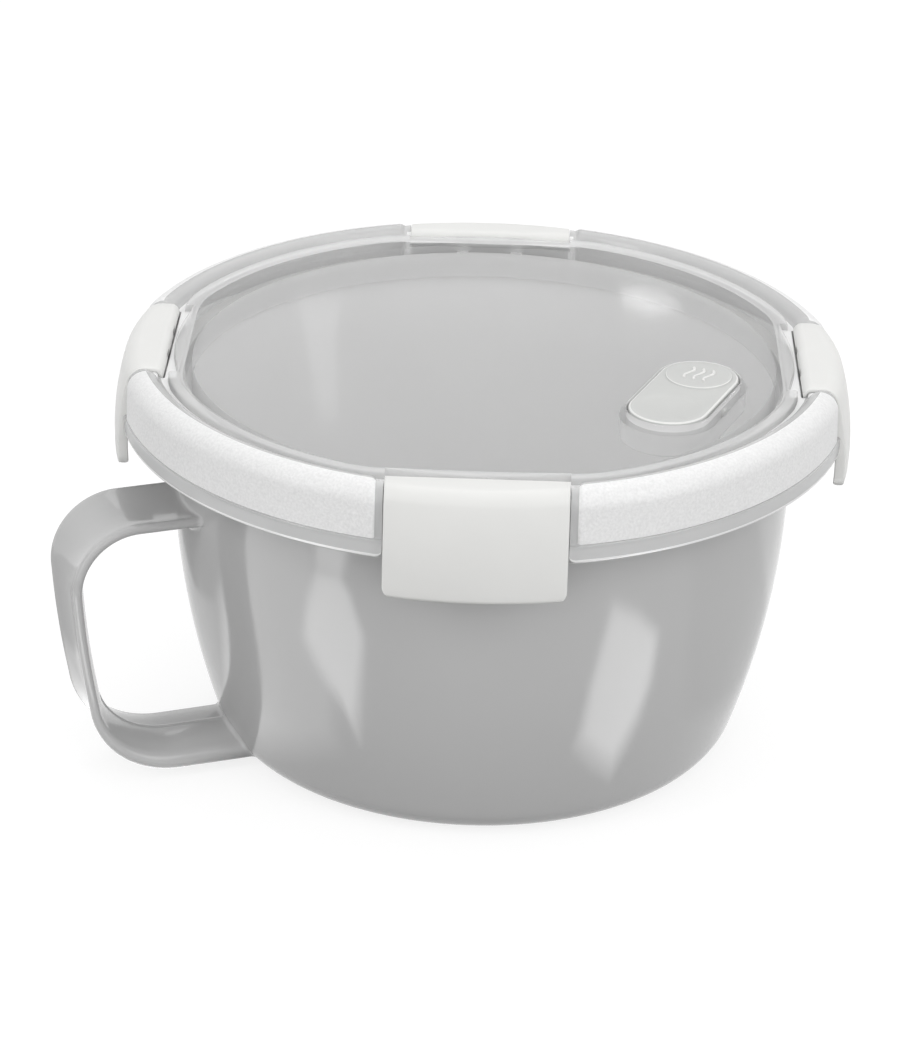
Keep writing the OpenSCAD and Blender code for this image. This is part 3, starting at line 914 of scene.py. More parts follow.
@dataclass
class Lid:
    """Clear lid: panel with a raised edge, frosted rim pads, gasket ribs, vent cup and hinge posts."""

    turn: float = -21.0
    panel: float = 92.4
    under: float = 90.6
    seat: float = 88.6
    panel_radius: float = 73.3
    panel_flat: float = 69.7
    flat_rows: int = 2
    under_rows: int = 3
    bead: float = 2.6
    bead_rise: float = 0.8
    hinge_arc: float = 69.8
    hinge_lip: float = 0.6
    hinge_ease: float = 1.0
    outline_ease: float = 2.0
    groove: float = 91.4
    crest_radius: float = 77.0
    crest_low: float = 89.5
    rim_round: float = 4.5
    rim_under: float = 89.8
    hollow_round: float = 2.3
    side_drop: float = 7.2
    pad: float = 0.6
    pad_from: float = 21.0
    pad_ease: float = 1.2
    pad_steps: int = 18
    skirt: float = 78.0
    corner: float = 1.6
    corner_reach: float = 2.4
    notch_half: float = 19.45
    wall: float = 1.6
    rib_out: float = 72.2
    rib_low: float = 84.4
    rib_ease: float = 0.3
    inner_rib_low: float = 84.0
    hinge_u: float = 72.8
    hinge_z: float = 91.6
    clearance: float = 2.35
    clearance_from: float = 7.0
    clearance_rows: int = 12
    post_half: float = 1.5
    post_at: float = 6.5
    post_ease: float = 0.3
    bar: float = 1.0
    bar_half: float = 20.4
    bar_steps: int = 28
    knuckle: float = 1.25
    vent_at: Point2 = (34.04, -35.25)
    vent_turn: float = 47.0
    vent_reach: float = 9.5
    cup_half: float = 9.3
    cup_wall: float = 1.4
    cup_floor: float = 86.6
    steam: float = 2.4
    steam_steps: int = 48

    def columns(self) -> list[Column]:
        """Directions in which the lid's outline is drawn.

        Returns:
            Columns round the whole lid, anticlockwise, with two at each end of every notch.
        """
        notch = (0, 0.1, 0.2, 0.3, 0.4, 0.5, 0.6, 0.7, 0.78, 0.86, 0.92, 0.97, 1)
        wall = (0, 0.1, 0.3, 0.6, 1.0, 1.4)
        rises = ((0.1, 0.2), (0.3, 0.5), (0.55, 0.78), (0.85, 0.95))
        half = [(self.notch_half * t, 0.0, Zone.NOTCH, 0.0) for t in notch]
        half += [(self.notch_half + t, 0.0, Zone.WALL, 0.0) for t in wall]
        half += [(self.pad_from + t, 0.0, Zone.PAD, rise) for t, rise in rises]
        half += [(self.pad_from + self.pad_ease, s / self.pad_steps, Zone.PAD, 1.0)
                 for s in range(self.pad_steps + 1)]
        result: list[Column] = []
        for quarter in range(4):
            result += [Column(quarter, -1, *c) for c in half[:0:-1]]
            result += [Column(quarter, 1, *c) for c in half[:-1]]
        return result

    def edge_rows(self) -> list[Point2]:
        """Raised edge of the panel.

        Returns:
            Distance in from the panel's outline, and height, of each row.
        """
        flat, top, low = self.panel, self.panel + self.bead_rise, self.groove
        return [(4.6, flat), (3.6, flat), (3.2, flat + 0.04), (2.9, flat + 0.15), (2.65, flat + 0.35),
                (2.4, top - 0.22), (2.1, top - 0.07), (1.8, top), (1.3, top), (0.75, top),
                (0.45, top - 0.04), (0.18, top - 0.17), (0.04, top - 0.4), (0.0, flat - 0.2),
                (0.0, low + 0.3), (-0.08, low + 0.1), (-0.3, low)]

    def rim_rows(self) -> list[tuple[Point2, Point2]]:
        """Outside of the rim, from the groove to the skirt's inner edge.

        Returns:
            Radius and height of each row, without and with the pad.
        """
        low, bare, full = self.crest_low, self.rim_round - self.pad, self.rim_round
        groove = [(73.75, self.groove), (73.9, self.groove)]
        slope = [((74.0, 91.42), (74.1, 91.44)), ((74.5, 91.73), (74.62, 91.66)),
                 ((75.0, 92.07), (74.86, 91.98)), ((75.4, 92.33), (75.1, 92.5)),
                 ((75.75, 92.57), (75.3, 92.95)), ((76.1, 92.8), (75.6, 93.36)),
                 ((76.4, 93.0), (76.0, 93.66)), ((76.7, 93.22), (76.5, 93.9))]
        crest = list(zip(arc(self.crest_radius, low, bare, 88, 0, 16),
                         arc(self.crest_radius, low, full, 90, 0, 16)))
        side = [((self.crest_radius + bare + 0.3 * s, low - self.side_drop * s),
                 (self.crest_radius + full + 0.28 * s, low - self.side_drop * s))
                for s in (0.25, 0.5, 0.75, 0.95)]
        fold = [((81.2, 82.25), (81.78, 82.22)), ((81.28, 82.06), (81.74, 82.1)),
                ((81.5, 82.0), (81.72, 82.0)), ((81.8, 82.0), (81.82, 81.97)),
                ((81.95, 81.94), (81.95, 81.9)), ((82.0, 81.75), (82.0, 81.75))]
        skirt = [(82.0, 81.0), (82.0, 80.2), (82.0, 79.4), (82.0, 78.85), (81.98, 78.5), (81.85, 78.22),
                 (81.6, 78.05), (81.2, 78.0), (80.8, 78.06), (80.5, 78.3), (80.4, 78.7), (80.4, 79.6),
                 (80.4, 80.4)]
        return [(p, p) for p in groove] + slope + crest + side + fold + [(p, p) for p in skirt]

    def hollow_rows(self) -> list[Point2]:
        """Inside of the rim, behind the notches' end walls.

        Returns:
            Radius and height of each row, up to the outer gasket rib.
        """
        return ([(80.4, 80.4), (79.6, 82.0), (79.5, 84.5), (79.4, 87.0)]
                + arc(self.crest_radius, self.crest_low, self.hollow_round, 0, 90, 6)
                + [(75.5, 90.8), (74.0, 89.85), (73.0, self.rim_under), (72.4, 89.75), (self.rib_out, 89.5),
                   (self.rib_out, 87.0), (self.rib_out, self.rib_low + self.rib_ease)])

    def rib_rows(self) -> list[Point2]:
        """The two gasket ribs with the seat between them.

        Returns:
            Radius and height of each row, to the start of the panel's underside.
        """
        outer, inner, seat, under = self.rib_low, self.inner_rib_low, self.seat, self.under
        return [(72.1, outer + 0.08), (71.85, outer), (71.15, outer), (70.88, outer + 0.1),
                (70.8, outer + 0.4), (70.8, seat - 0.25), (70.6, seat), (67.6, seat), (67.4, seat - 0.25),
                (67.4, inner + 0.35), (67.3, inner + 0.08), (67.05, inner), (66.35, inner),
                (66.1, inner + 0.08), (66.0, inner + 0.35), (66.0, under - 0.5), (65.85, under - 0.15),
                (65.5, under), (64.3, under)]

    def outline_point(self, column: Column, depth: float, z: float) -> Point3:
        """Point of the panel's outline, a circle with four straight sides, drawn in by a depth.

        Args:
            column: Direction of the point.
            depth: How far it is drawn in.
            z: Height of the point.

        Returns:
            The point. Over a hinge the raised edge is straight inside and follows a circle outside.
        """
        radius, flat = self.panel_radius - depth, self.panel_flat - depth
        if column.zone is Zone.NOTCH and depth < self.bead:
            inside = self.panel_flat - self.bead
            circle = math.sqrt(self.hinge_arc ** 2 - column.across ** 2)
            outside = -soft_min(-circle, -inside - self.hinge_lip, self.hinge_ease)
            share = 1 - max(depth, 0) / self.bead
            return column.out(inside + (outside - inside) * share - min(depth, 0), z)
        if column.spread == 0:
            circle = math.sqrt(radius ** 2 - column.across ** 2)
            return column.out(soft_min(flat, circle, self.outline_ease), z)
        return column.at(soft_min(flat / math.cos(column.swing(radius)), radius, self.outline_ease), z)

    def rib_u(self, column: Column) -> float:
        """Place of the outer rib's face along the clip's middle line."""
        return math.sqrt(self.rib_out ** 2 - column.across ** 2)

    def notch_point(self, column: Column, number: int, count: int) -> Point3:
        """Point of the notch's outline, which stands in for a point of the rim.

        Args:
            column: Direction of the point, in the notch.
            number: Number of the rim's row.
            count: How many such rows there are.

        Returns:
            A point on the ledge, the round clearance of the hinge, or the rib's face.
        """
        ledge = [(70.1, self.groove), (70.25, self.groove), (70.4, self.groove - 0.04)]
        if number < len(ledge):
            return column.out(*ledge[number])
        rib = self.rib_u(column)
        end = math.degrees(math.asin((self.hinge_z - self.rim_under) / self.clearance))
        gap = (self.hinge_u - rib) / self.clearance
        if gap < math.cos(math.radians(end)):
            end = max(end, math.degrees(math.acos(gap)))
        step = number - len(ledge)
        if step < self.clearance_rows:
            share = step / (self.clearance_rows - 1)
            turn = math.radians(self.clearance_from + (end - self.clearance_from) * share)
            return column.out(self.hinge_u - self.clearance * math.cos(turn),
                              self.hinge_z - self.clearance * math.sin(turn))
        start = self.hinge_z - self.clearance * math.sin(math.radians(end))
        foot = self.rib_low + self.rib_ease
        last = count - len(ledge) - self.clearance_rows - 1
        return column.out(rib, start + (foot - start) * (step - self.clearance_rows) / last)

    def rim_point(self, column: Column, row: tuple[Point2, Point2]) -> Point3:
        """Point of the rim's outside, with the pad's height and the skirt's rounded corner.

        Args:
            column: Direction of the point.
            row: Radius and height of its row, without and with the pad.

        Returns:
            The point.
        """
        (r0, z0), (r1, z1) = row
        r, z = r0 + (r1 - r0) * column.pad, z0 + (z1 - z0) * column.pad
        if column.spread == 0 and z < self.skirt + self.corner_reach:
            near = max(0.0, self.notch_half + self.corner - column.across)
            lift = self.corner - math.sqrt(max(0.0, self.corner ** 2 - near ** 2))
            z = self.skirt + lift + (z - self.skirt) * (self.corner_reach - lift) / self.corner_reach
        return column.at(r, z)

    def hollow_point(self, column: Column, r: float, z: float) -> Point3:
        """Point of the rim's inside, which stays behind the end walls of the notches.

        Args:
            column: Direction of the point.
            r: Radius of its row.
            z: Height of its row.

        Returns:
            The point.
        """
        if column.zone is Zone.NOTCH:
            return column.out(self.rib_u(column), self.rib_low + self.rib_ease)
        if column.spread == 0 and r > self.rib_out:
            return column.at(r, z, max(column.across, self.notch_half + self.wall))
        return column.at(r, z)

    def grid(self) -> tuple[list[list[Point3]], list[list[int]]]:
        """Lid's shell, row by row from the panel's top over the rim to its underside.

        Returns:
            The rows of points, and the finish of each face between a row and the next.
        """
        columns = self.columns()
        rim, hollow = self.rim_rows(), self.hollow_rows()
        rows = [[self.outline_point(c, depth, z) for c in columns] for depth, z in self.edge_rows()]
        first_rim = len(rows)
        for number, row in enumerate(rim):
            rows.append([self.notch_point(c, number, len(rim)) if c.zone is Zone.NOTCH
                         else self.rim_point(c, row) for c in columns])
        rows += [[self.hollow_point(c, r, z) for c in columns] for r, z in hollow]
        first_rib = len(rows) - 1
        rows += [[c.at(r, z) for c in columns] for r, z in self.rib_rows()]
        end_rib = len(rows) - self.under_rows

        def finish(row: int, first: Column, second: Column) -> int:
            """Finish of a face.

            Args:
                row: Number of the row that it starts from.
                first: Column on one side of it.
                second: Column on its other side.

            Returns:
                Number of the finish.
            """
            number = row - first_rim
            # Ribs and skirt get painted shade, the groove and the skirt's lower edge painted light, the
            # bead partly painted light.
            if first_rib <= row < end_rib:
                return LidFinish.RIB
            if row < self.flat_rows or number >= len(rim) - 1:
                return LidFinish.CLEAR
            if RimRow.FOLD_START <= number < RimRow.FOLD_END or number >= RimRow.LIP_START:
                return LidFinish.EDGE
            if number < 0:
                return LidFinish.BEAD
            if first.zone is Zone.NOTCH and second.zone is Zone.NOTCH:
                return LidFinish.SKIRT
            if number < RimRow.SLOPE_END:
                return LidFinish.BEAD
            if number < RimRow.FROST_END and first.pad > 0 and second.pad > 0:
                return LidFinish.FROSTED
            return LidFinish.SKIRT

        pairs = list(zip(columns, columns[1:] + columns[:1]))
        return rows, [[finish(row, *pair) for pair in pairs] for row in range(len(rows) - 1)]

    def vent_matrix(self) -> Matrix:
        """Place of the vent on the mug, in millimetres."""
        turn = Matrix.Rotation(math.radians(self.vent_turn), 4, "Z")
        return Matrix.Translation((*self.vent_at, 0)) @ turn

    def add_cup(self, draft: Draft) -> None:
        """Adds the vent's cup with its steam hole to the lid's shell.

        Args:
            draft: The shell under construction.
        """
        place = Matrix.Rotation(math.radians(-self.turn), 4, "Z") @ self.vent_matrix()
        top, under, floor, low = self.panel, self.under, self.cup_floor, self.cup_floor - self.cup_wall
        half, outer, hole = self.cup_half, self.cup_half + self.cup_wall, self.steam
        mouth = [(half + 1.2, top), (half + 0.4, top), (half + 0.12, top - 0.08), (half, top - 0.35),
                 (half, under)]
        inside = [(half, under), (half, floor + 2.0), (half, floor + 0.6), (half - 0.12, floor + 0.17),
                  (half - 0.45, floor), (half - 1.0, floor)]
        outside = [(outer + 1.4, under), (outer + 0.6, under), (outer + 0.18, under - 0.16),
                   (outer, under - 0.6), (outer, low + 0.8), (outer - 0.14, low + 0.32),
                   (outer - 0.45, low + 0.06), (outer - 0.9, low), (outer - 1.5, low)]
        # The cup's mouth gets the edge finish's painted light; its walls the bead's colour, partly painted
        # light.
        for finish, flat, band in ((LidFinish.EDGE, 2, mouth), (LidFinish.BEAD, 0, inside),
                                   (LidFinish.BEAD, 2, outside)):
            draft.skin([[place @ Vector(p) for p in pill(self.vent_reach, r, z)] for r, z in band],
                       finish, (flat, LidFinish.CLEAR))
        bore = [(hole + 0.9, floor), (hole + 0.35, floor), (hole + 0.1, floor - 0.1), (hole, floor - 0.35),
                (hole, low + 0.35), (hole + 0.1, low + 0.1), (hole + 0.35, low), (hole + 0.9, low)]
        draft.skin([[place @ Vector(p) for p in ring(r, z, self.steam_steps, (self.vent_reach, 0.0))]
                    for r, z in bore])

    def build_shell(self, materials: Sequence[bpy.types.Material]) -> None:
        """Makes the lid's shell in one closed mesh.

        Args:
            materials: Clear, frosted, skirt, edge, bead and rib finishes.
        """
        draft = Draft()
        rows, finishes = self.grid()
        loops = [draft.loop(row) for row in rows]
        for first, second, finish in zip(loops, loops[1:], finishes):
            draft.bridge(first, second, finish)
        self.add_cup(draft)
        for height in (self.panel, self.under, self.cup_floor, self.cup_floor - self.cup_wall):
            draft.lid_over(height)
        draft.place(Matrix.Rotation(math.radians(self.turn), 4, "Z"))
        add_piece(draft.mesh("lid_shell", 38), Body.LID, materials, ["lid"])

    def hinge_mesh(self) -> bpy.types.Mesh:
        """Makes one hinge: two posts on the outer rib, and a round bar through the knuckles on them.

        Returns:
            The hinge, for a clip that points along X.
        """
        foot, shelf, top = self.rib_low, 88.4, self.hinge_z
        section = eased([(70.9, foot, 0.3), (73.7, foot, 0.3), (73.7, top, 0.2), (72.45, top, 0.2),
                         (72.45, shelf, 0.5), (70.9, shelf, 0.4)])
        posts = (-self.post_at, self.post_at)
        draft = Draft()
        for middle in posts:
            draft.skin([[(u, middle + t, z) for u, z in inset(section, depth)]
                        for t, depth in rounded_ends(self.post_half, self.post_ease)])
            draft.close()
        axis = (self.hinge_u, self.hinge_z)
        draft.rod(axis, self.bar, self.bar_half, self.bar_steps)
        for middle in posts:
            draft.rod(axis, self.knuckle, self.post_half, self.bar_steps, middle)
        return draft.mesh("hinge", 40)

    def build_hinges(self, material: bpy.types.Material) -> None:
        """Repeats the hinge at the four clips.

        Args:
            material: Its finish: the edge finish, whose whiter colour is painted light in the hinge gaps.
        """
        repeat = Repeat("hinges_round_the_lid", Count="Int", Turn="Float")
        spots = repeat.add("GeometryNodePoints", {"Count": repeat.given["Count"]})
        number = repeat.add("GeometryNodeInputIndex")
        step = repeat.add("ShaderNodeMath", {0: math.tau, 1: repeat.given["Count"]}, operation="DIVIDE")
        angle = repeat.add("ShaderNodeMath", {0: number, 1: step, 2: repeat.given["Turn"]},
                           operation="MULTIPLY_ADD")
        turned = repeat.add("ShaderNodeCombineXYZ", {"Z": angle})
        copies = repeat.add("GeometryNodeInstanceOnPoints",
                            {"Points": spots, "Instance": repeat.given["Geometry"], "Rotation": turned})
        repeat.end(copies)
        mesh = repeat.mesh("lid_hinges", self.hinge_mesh(), Count=4, Turn=math.radians(self.turn),
                           Material=material)
        add_piece(mesh, Body.LID)


@dataclass
class Gasket:
    """Soft ring between the lid's ribs, with a round bead that meets the bowl's rim."""

    inner: float = 67.5
    outer: float = 70.7
    top: float = 88.6
    bottom: float = 86.2
    bead: float = 0.8
    corner: float = 0.25
    steps: int = 192

    def section(self) -> bpy.types.Mesh:
        """Makes the ring's section as a closed line about the middle of its width.

        Returns:
            The line, upside down as the sweep needs it.
        """
        half, ease = (self.outer - self.inner) / 2, self.corner
        low = self.bottom + self.bead
        points = eased([(half, low, ease), (half, self.top, ease), (-half, self.top, ease),
                        (-half, low, ease)])
        points += [(-self.bead, low)] + arc(0, low, self.bead, 200, 340, 10) + [(self.bead, low)]
        edges = [(i, (i + 1) % len(points)) for i in range(len(points))]
        mesh = bpy.data.meshes.new("gasket_section")
        mesh.from_pydata([(x * MM, -y * MM, 0) for x, y in points], edges, [])
        return mesh

    def build(self, material: bpy.types.Material) -> None:
        """Sweeps the section round a circle.

        Args:
            material: Its finish.
        """
        repeat = Repeat("section_round_a_circle", Radius="Float", Steps="Int")
        circle = repeat.add("GeometryNodeCurvePrimitiveCircle",
                            {"Resolution": repeat.given["Steps"], "Radius": repeat.given["Radius"]})
        section = repeat.add("GeometryNodeMeshToCurve", {"Mesh": repeat.given["Geometry"]})
        repeat.end(repeat.add("GeometryNodeCurveToMesh", {"Curve": circle, "Profile Curve": section}))
        mesh = repeat.mesh("gasket_ring", self.section(), Radius=(self.inner + self.outer) / 2 * MM,
                           Steps=self.steps, Material=material)
        solid = bmesh.new()
        solid.from_mesh(mesh)
        bmesh.ops.recalc_face_normals(solid, faces=solid.faces)
        solid.to_mesh(mesh)
        solid.free()
        smooth(mesh, 40)
        add_piece(mesh, Body.LID, (), ["lid_seal"])


# The clips


@dataclass
class Clip:
    """Swing clip: a barrel on the hinge bar, a bent and bowed face, and a catch for the bowl's flange."""

    half: float = 19.3
    thick: float = 2.3
    top: float = 93.6
    bottom: float = 69.6
    face_centre: Point2 = (26.45, 74.5)
    face_radius: float = 57.0
    bend: float = 4.0
    lip: float = 1.1
    corner: float = 2.3
    hinge: Point2 = (72.8, 91.6)
    barrel: float = 2.0
    bore: float = 1.07
    mouth: float = 0.85
    roof_bore: float = 1.35
    roof_end: float = 158.0
    roof_edge: tuple[float, float] = (1.5, 1.72)
    post_at: float = 6.5
    gap_half: float = 1.85
    straight: float = 1.6
    curved: float = 4.4
    catch_half: float = 14.0
    catch_ease: float = 0.3
    edge_round: float = 0.32

    def barrel_rows(self, hooked: bool) -> list[Point2]:
        """Section of the barrel, with as many points beside the posts as over them, so that the two join.

        Args:
            hooked: Whether the barrel reaches round the bar, as it does beside the posts.

        Returns:
            Its points, from its top round the bar to the start of the face's inside.
        """
        x, z = self.hinge
        if hooked:
            wide = math.degrees(math.asin(self.mouth / self.barrel))
            tight = math.degrees(math.asin(self.mouth / self.bore))
            return (arc(x, z, self.barrel, 90, 270 - wide, 20)
                    + arc(x, z, self.bore, 270 - tight, -90 + tight, 24)
                    + arc(x, z, self.barrel, -90 + wide, -8.6, 8))
        inner, outer = self.roof_edge
        return (arc(x, z, self.barrel, 90, self.roof_end, 20)
                + arc(x, z, self.roof_bore, self.roof_end, -10, 24)
                + arc(x, z, inner, -10.5, -10, 4) + arc(x, z, outer, -10, -10, 3))

    def shell(self, hooked: bool) -> list[Point2]:
        """Closed section of the clip, anticlockwise from the top of the barrel.

        Args:
            hooked: Whether the barrel reaches round the bar, as it does beside the posts.

        Returns:
            Distance from the lid's axis, or along the clip's middle line near the barrel, and height.
        """
        fx, fz = self.face_centre
        inner, low = self.face_radius - self.thick, self.bottom + self.lip
        bend_z = self.top - self.bend
        bend_x = fx + math.sqrt((self.face_radius - self.bend) ** 2 - (bend_z - fz) ** 2)
        bend_angle = math.degrees(math.atan2(bend_z - fz, bend_x - fx))
        lip_angle = -math.degrees(math.asin((fz - low) / self.face_radius))
        lip_turn = math.cos(math.radians(lip_angle))
        inside = (arc(bend_x, bend_z, self.bend - self.thick, 90, bend_angle, 10)
                  + arc(fx, fz, inner, bend_angle, lip_angle, 22)[1:])
        edge = (arc(fx + inner * lip_turn + self.lip, low, self.lip, 180, 270, 6)
                + arc(fx + self.face_radius * lip_turn - self.lip, low, self.lip, 270, 360 + lip_angle, 6))
        outside = (arc(fx, fz, self.face_radius, lip_angle, bend_angle, 26)[1:]
                   + arc(bend_x, bend_z, self.bend, bend_angle, 90, 14)[1:])
        top = [(bend_x + (self.hinge[0] - bend_x) * s, self.top) for s in (0.3, 0.6, 0.85)]
        return self.barrel_rows(hooked) + inside + edge + outside + top

    def width_at(self, z: float) -> float:
        """Half width of the clip at a height, with its rounded lower corners."""
        drop = max(0.0, self.bottom + self.corner - z)
        return self.half - self.corner + math.sqrt(max(0.0, self.corner ** 2 - drop ** 2))

    def bent(self, section: Sequence[Point2], t: float) -> list[Point3]:
        """Section at a place across the clip: straight at the barrel, and round the lid's axis further out.

        Args:
            section: The section.
            t: Place across the clip.

        Returns:
            Its points, with the clip pointing along X.
        """
        points = []
        for r, z in section:
            y = t * self.width_at(z) / self.half
            share = (r - self.hinge[0] - self.straight) / (self.curved - self.straight)
            points.append((r + (math.sqrt(r ** 2 - y ** 2) - r) * min(1.0, max(0.0, share)), y, z))
        return points

    def catch_rows(self) -> list[list[Point3]]:
        """Bar of the catch on the inside of the face.

        Returns:
            Its rows, from one end to the other.
        """
        section = eased([(82.2, 73.35, 0), (82.2, 76.35, 0), (79.6, 76.35, 0.25), (79.6, 74.85, 0.5),
                         (81.05, 73.35, 0.1)])
        return [[(math.sqrt(r ** 2 - t ** 2), t, z) for r, z in inset(section, depth)]
                for t, depth in rounded_ends(self.catch_half, self.catch_ease, [-9.0, -4.5, 0.0, 4.5, 9.0])]

    def mesh(self) -> bpy.types.Mesh:
        """Makes one clip.

        Returns:
            The clip, which points along X.
        """
        gap, hook = self.shell(False), self.shell(True)
        near, far = self.post_at - self.gap_half, self.post_at + self.gap_half
        half = [(section, t, 0.0) for section, t in (
            (hook, 0.0), (hook, near / 2), (hook, near), (gap, near), (gap, self.post_at), (gap, far),
            (hook, far), (hook, 12.0), (hook, 15.5))]
        half += [(hook, t, depth) for t, depth in rounded_ends(self.half, self.edge_round) if t > 0]
        rows = [self.bent(inset(section, depth), -t) for section, t, depth in half[:0:-1]]
        rows += [self.bent(inset(section, depth), t) for section, t, depth in half]
        draft = Draft()
        for part in (rows, self.catch_rows()):
            draft.skin(part)
            draft.close()
        return draft.mesh("clip", 40)

    def build(self, material: bpy.types.Material, turn: float) -> None:
        """Turns the clip to its four places, each on its own body.

        Args:
            material: Its finish.
            turn: Direction of the right-hand clip, in degrees.
        """
        repeat = Repeat("clip_at_its_place", Turn="Float")
        angle = repeat.add("ShaderNodeCombineXYZ", {"Z": repeat.given["Turn"]})
        repeat.end(repeat.add("GeometryNodeTransform",
                              {"Geometry": repeat.given["Geometry"], "Rotation": angle}))
        source = self.mesh()
        for number, body in enumerate((Body.CLIP_RIGHT, Body.CLIP_BACK, Body.CLIP_LEFT, Body.CLIP_FRONT)):
            mesh = repeat.mesh(body.value + "_shell", source, Turn=math.radians(turn + 90 * number),
                               Material=material)
            add_piece(mesh, body, (), [body.value])


# The vent


@dataclass
class Vent:
    """Steam flap that rocks on trunnions, with a raised pad, a finger dimple and a soft plug."""

    place: Matrix
    reach: float = 9.5
    half: float = 8.85
    low: float = 90.2
    high: float = 92.6
    pad: float = 7.4
    pad_rise: float = 0.5
    pad_steps: int = 72
    dimple: float = 7.2
    dimple_depth: float = 0.8
    axis: float = 89.4
    bar: float = 1.6
    bar_short: float = 0.05
    trunnion: float = 1.1
    trunnion_half: float = 10.0
    rod_steps: int = 32
    stem: float = 2.4
    stem_in: float = 1.0
    stem_steps: int = 40
    plug: float = 3.6
    plug_low: float = 86.75
    plug_high: float = 88.35
    plug_round: float = 0.4
    plug_steps: int = 48
    wave_gap: float = 2.3
    wave_length: float = 6.4
    wave_swing: float = 0.55
    wave_thick: float = 0.38
    wave_sunk: float = 0.14

    def build_flap(self, materials: Sequence[bpy.types.Material]) -> None:
        """Makes the flap with its bar, trunnions and stem.

        Args:
            materials: Its finish, and that of its rounded edges, which is painted light.
        """
        draft = Draft()
        half, low, high, top, pad = self.half, self.low, self.high, self.high + self.pad_rise, self.pad
        over_hole, over_dimple = (self.reach, 0.0), (-self.reach, 0.0)
        side = [(half - 1.2, low), (half - 0.35, low), (half - 0.1, low + 0.1), (half, low + 0.35),
                (half, high - 0.5), (half - 0.06, high - 0.24), (half - 0.2, high - 0.07),
                (half - 0.45, high), (half - 0.75, high)]
        draft.skin([pill(self.reach, r, z) for r, z in side[-2:]])
        # The rounded edge gets the whiter finish: painted light.
        draft.skin([pill(self.reach, r, z) for r, z in side[-2::-1]], 0, (2, 1))
        rise = [(pad + 0.22, high), (pad + 0.08, high + 0.04), (pad, high + 0.16), (pad - 0.05, top - 0.18),
                (pad - 0.2, top - 0.04), (pad - 0.5, top), (pad - 1.5, top), (0, top)]
        draft.turn(rise[:4], self.pad_steps, over_hole)
        # The pad's rounded rim gets the whiter finish: a painted bright line.
        draft.turn(rise[3:], self.pad_steps, over_hole, 0, (1, 1))
        ball = (self.dimple ** 2 + self.dimple_depth ** 2) / (2 * self.dimple_depth)
        floor = high - self.dimple_depth
        bowl = [(self.dimple + 0.2, high), (self.dimple, high - 0.02)]
        bowl += [(self.dimple * s, floor + ball - math.sqrt(ball ** 2 - (self.dimple * s) ** 2))
                 for s in (0.95, 0.88, 0.78, 0.66, 0.52, 0.38, 0.24, 0.12, 0.0)]
        draft.turn(bowl, self.pad_steps, over_dimple)
        draft.lid_over(high)
        draft.lid_over(low)
        draft.rod((0.0, self.axis), self.bar, half - self.bar_short, self.rod_steps)
        draft.rod((0.0, self.axis), self.trunnion, self.trunnion_half, self.rod_steps)
        stem = [(0, self.plug_high), (self.stem - 0.2, self.plug_high), (self.stem, self.plug_high + 0.2),
                (self.stem, low + self.stem_in), (0, low + self.stem_in)]
        draft.turn(stem, self.stem_steps, over_hole)
        draft.place(self.place)
        add_piece(draft.mesh("steam_flap", 38), Body.VENT, materials, ["vent_rocker"])

    def build_plug(self, material: bpy.types.Material) -> None:
        """Makes the soft plug over the steam hole, with a shallow cup in its sealing face.

        Args:
            material: Its finish.
        """
        low, high, ease = self.plug_low, self.plug_high, self.plug_round
        profile = [(0, low + 0.25), (1.2, low + 0.22), (1.9, low + 0.1), (2.5, low)]
        profile += arc(self.plug - ease, low + ease, ease, -90, 0, 5)
        profile += arc(self.plug - ease, high - ease, ease, 0, 90, 5) + [(0, high)]
        draft = Draft()
        draft.turn(profile, self.plug_steps, (self.reach, 0.0))
        draft.place(self.place)
        add_piece(draft.mesh("steam_plug"), Body.VENT, [material], ["vent_seal"])

    def build_waves(self, material: bpy.types.Material) -> None:
        """Makes three raised wavy lines on the pad, the common sign for steam.

        Args:
            material: Their finish.
        """
        repeat = Repeat("steam_waves", Count="Int", Spacing="Float", Length="Float", Swing="Float",
                        Thickness="Float")
        end = repeat.add("ShaderNodeCombineXYZ", {"X": repeat.given["Length"]})
        line = repeat.add("GeometryNodeCurvePrimitiveLine", {"End": end})
        fine = repeat.add("GeometryNodeResampleCurve", {"Curve": line, "Count": 28})
        along = repeat.add("GeometryNodeSplineParameter").outputs["Factor"]
        phase = repeat.add("ShaderNodeMath", {0: along, 1: math.tau}, operation="MULTIPLY")
        sway = repeat.add("ShaderNodeMath", {0: phase}, operation="SINE")
        swing = repeat.add("ShaderNodeMath", {0: sway, 1: repeat.given["Swing"]}, operation="MULTIPLY")
        shift = repeat.add("ShaderNodeCombineXYZ", {"Y": swing})
        wave = repeat.add("GeometryNodeSetPosition", {"Geometry": fine, "Offset": shift})
        section = repeat.add("GeometryNodeCurvePrimitiveCircle",
                             {"Resolution": 12, "Radius": repeat.given["Thickness"]})
        rod = repeat.add("GeometryNodeCurveToMesh",
                         {"Curve": wave, "Profile Curve": section, "Fill Caps": True})
        step = repeat.add("ShaderNodeCombineXYZ", {"Y": repeat.given["Spacing"]})
        spots = repeat.add("GeometryNodeMeshLine", {"Count": repeat.given["Count"], "Offset": step})
        repeat.end(repeat.add("GeometryNodeInstanceOnPoints", {"Points": spots, "Instance": rod}))
        mesh = repeat.mesh("steam_waves", Count=3, Spacing=self.wave_gap * MM, Length=self.wave_length * MM,
                           Swing=self.wave_swing * MM, Thickness=self.wave_thick * MM, Material=material)
        start = Vector((self.reach - self.wave_length / 2, -self.wave_gap,
                        self.high + self.pad_rise - self.wave_sunk)) * MM
        in_metres = Matrix.Translation(self.place.translation * MM) @ self.place.to_3x3().to_4x4()
        mesh.transform(in_metres @ Matrix.Translation(start))
        mesh.shade_smooth()
        add_piece(mesh, Body.VENT)


# The studio


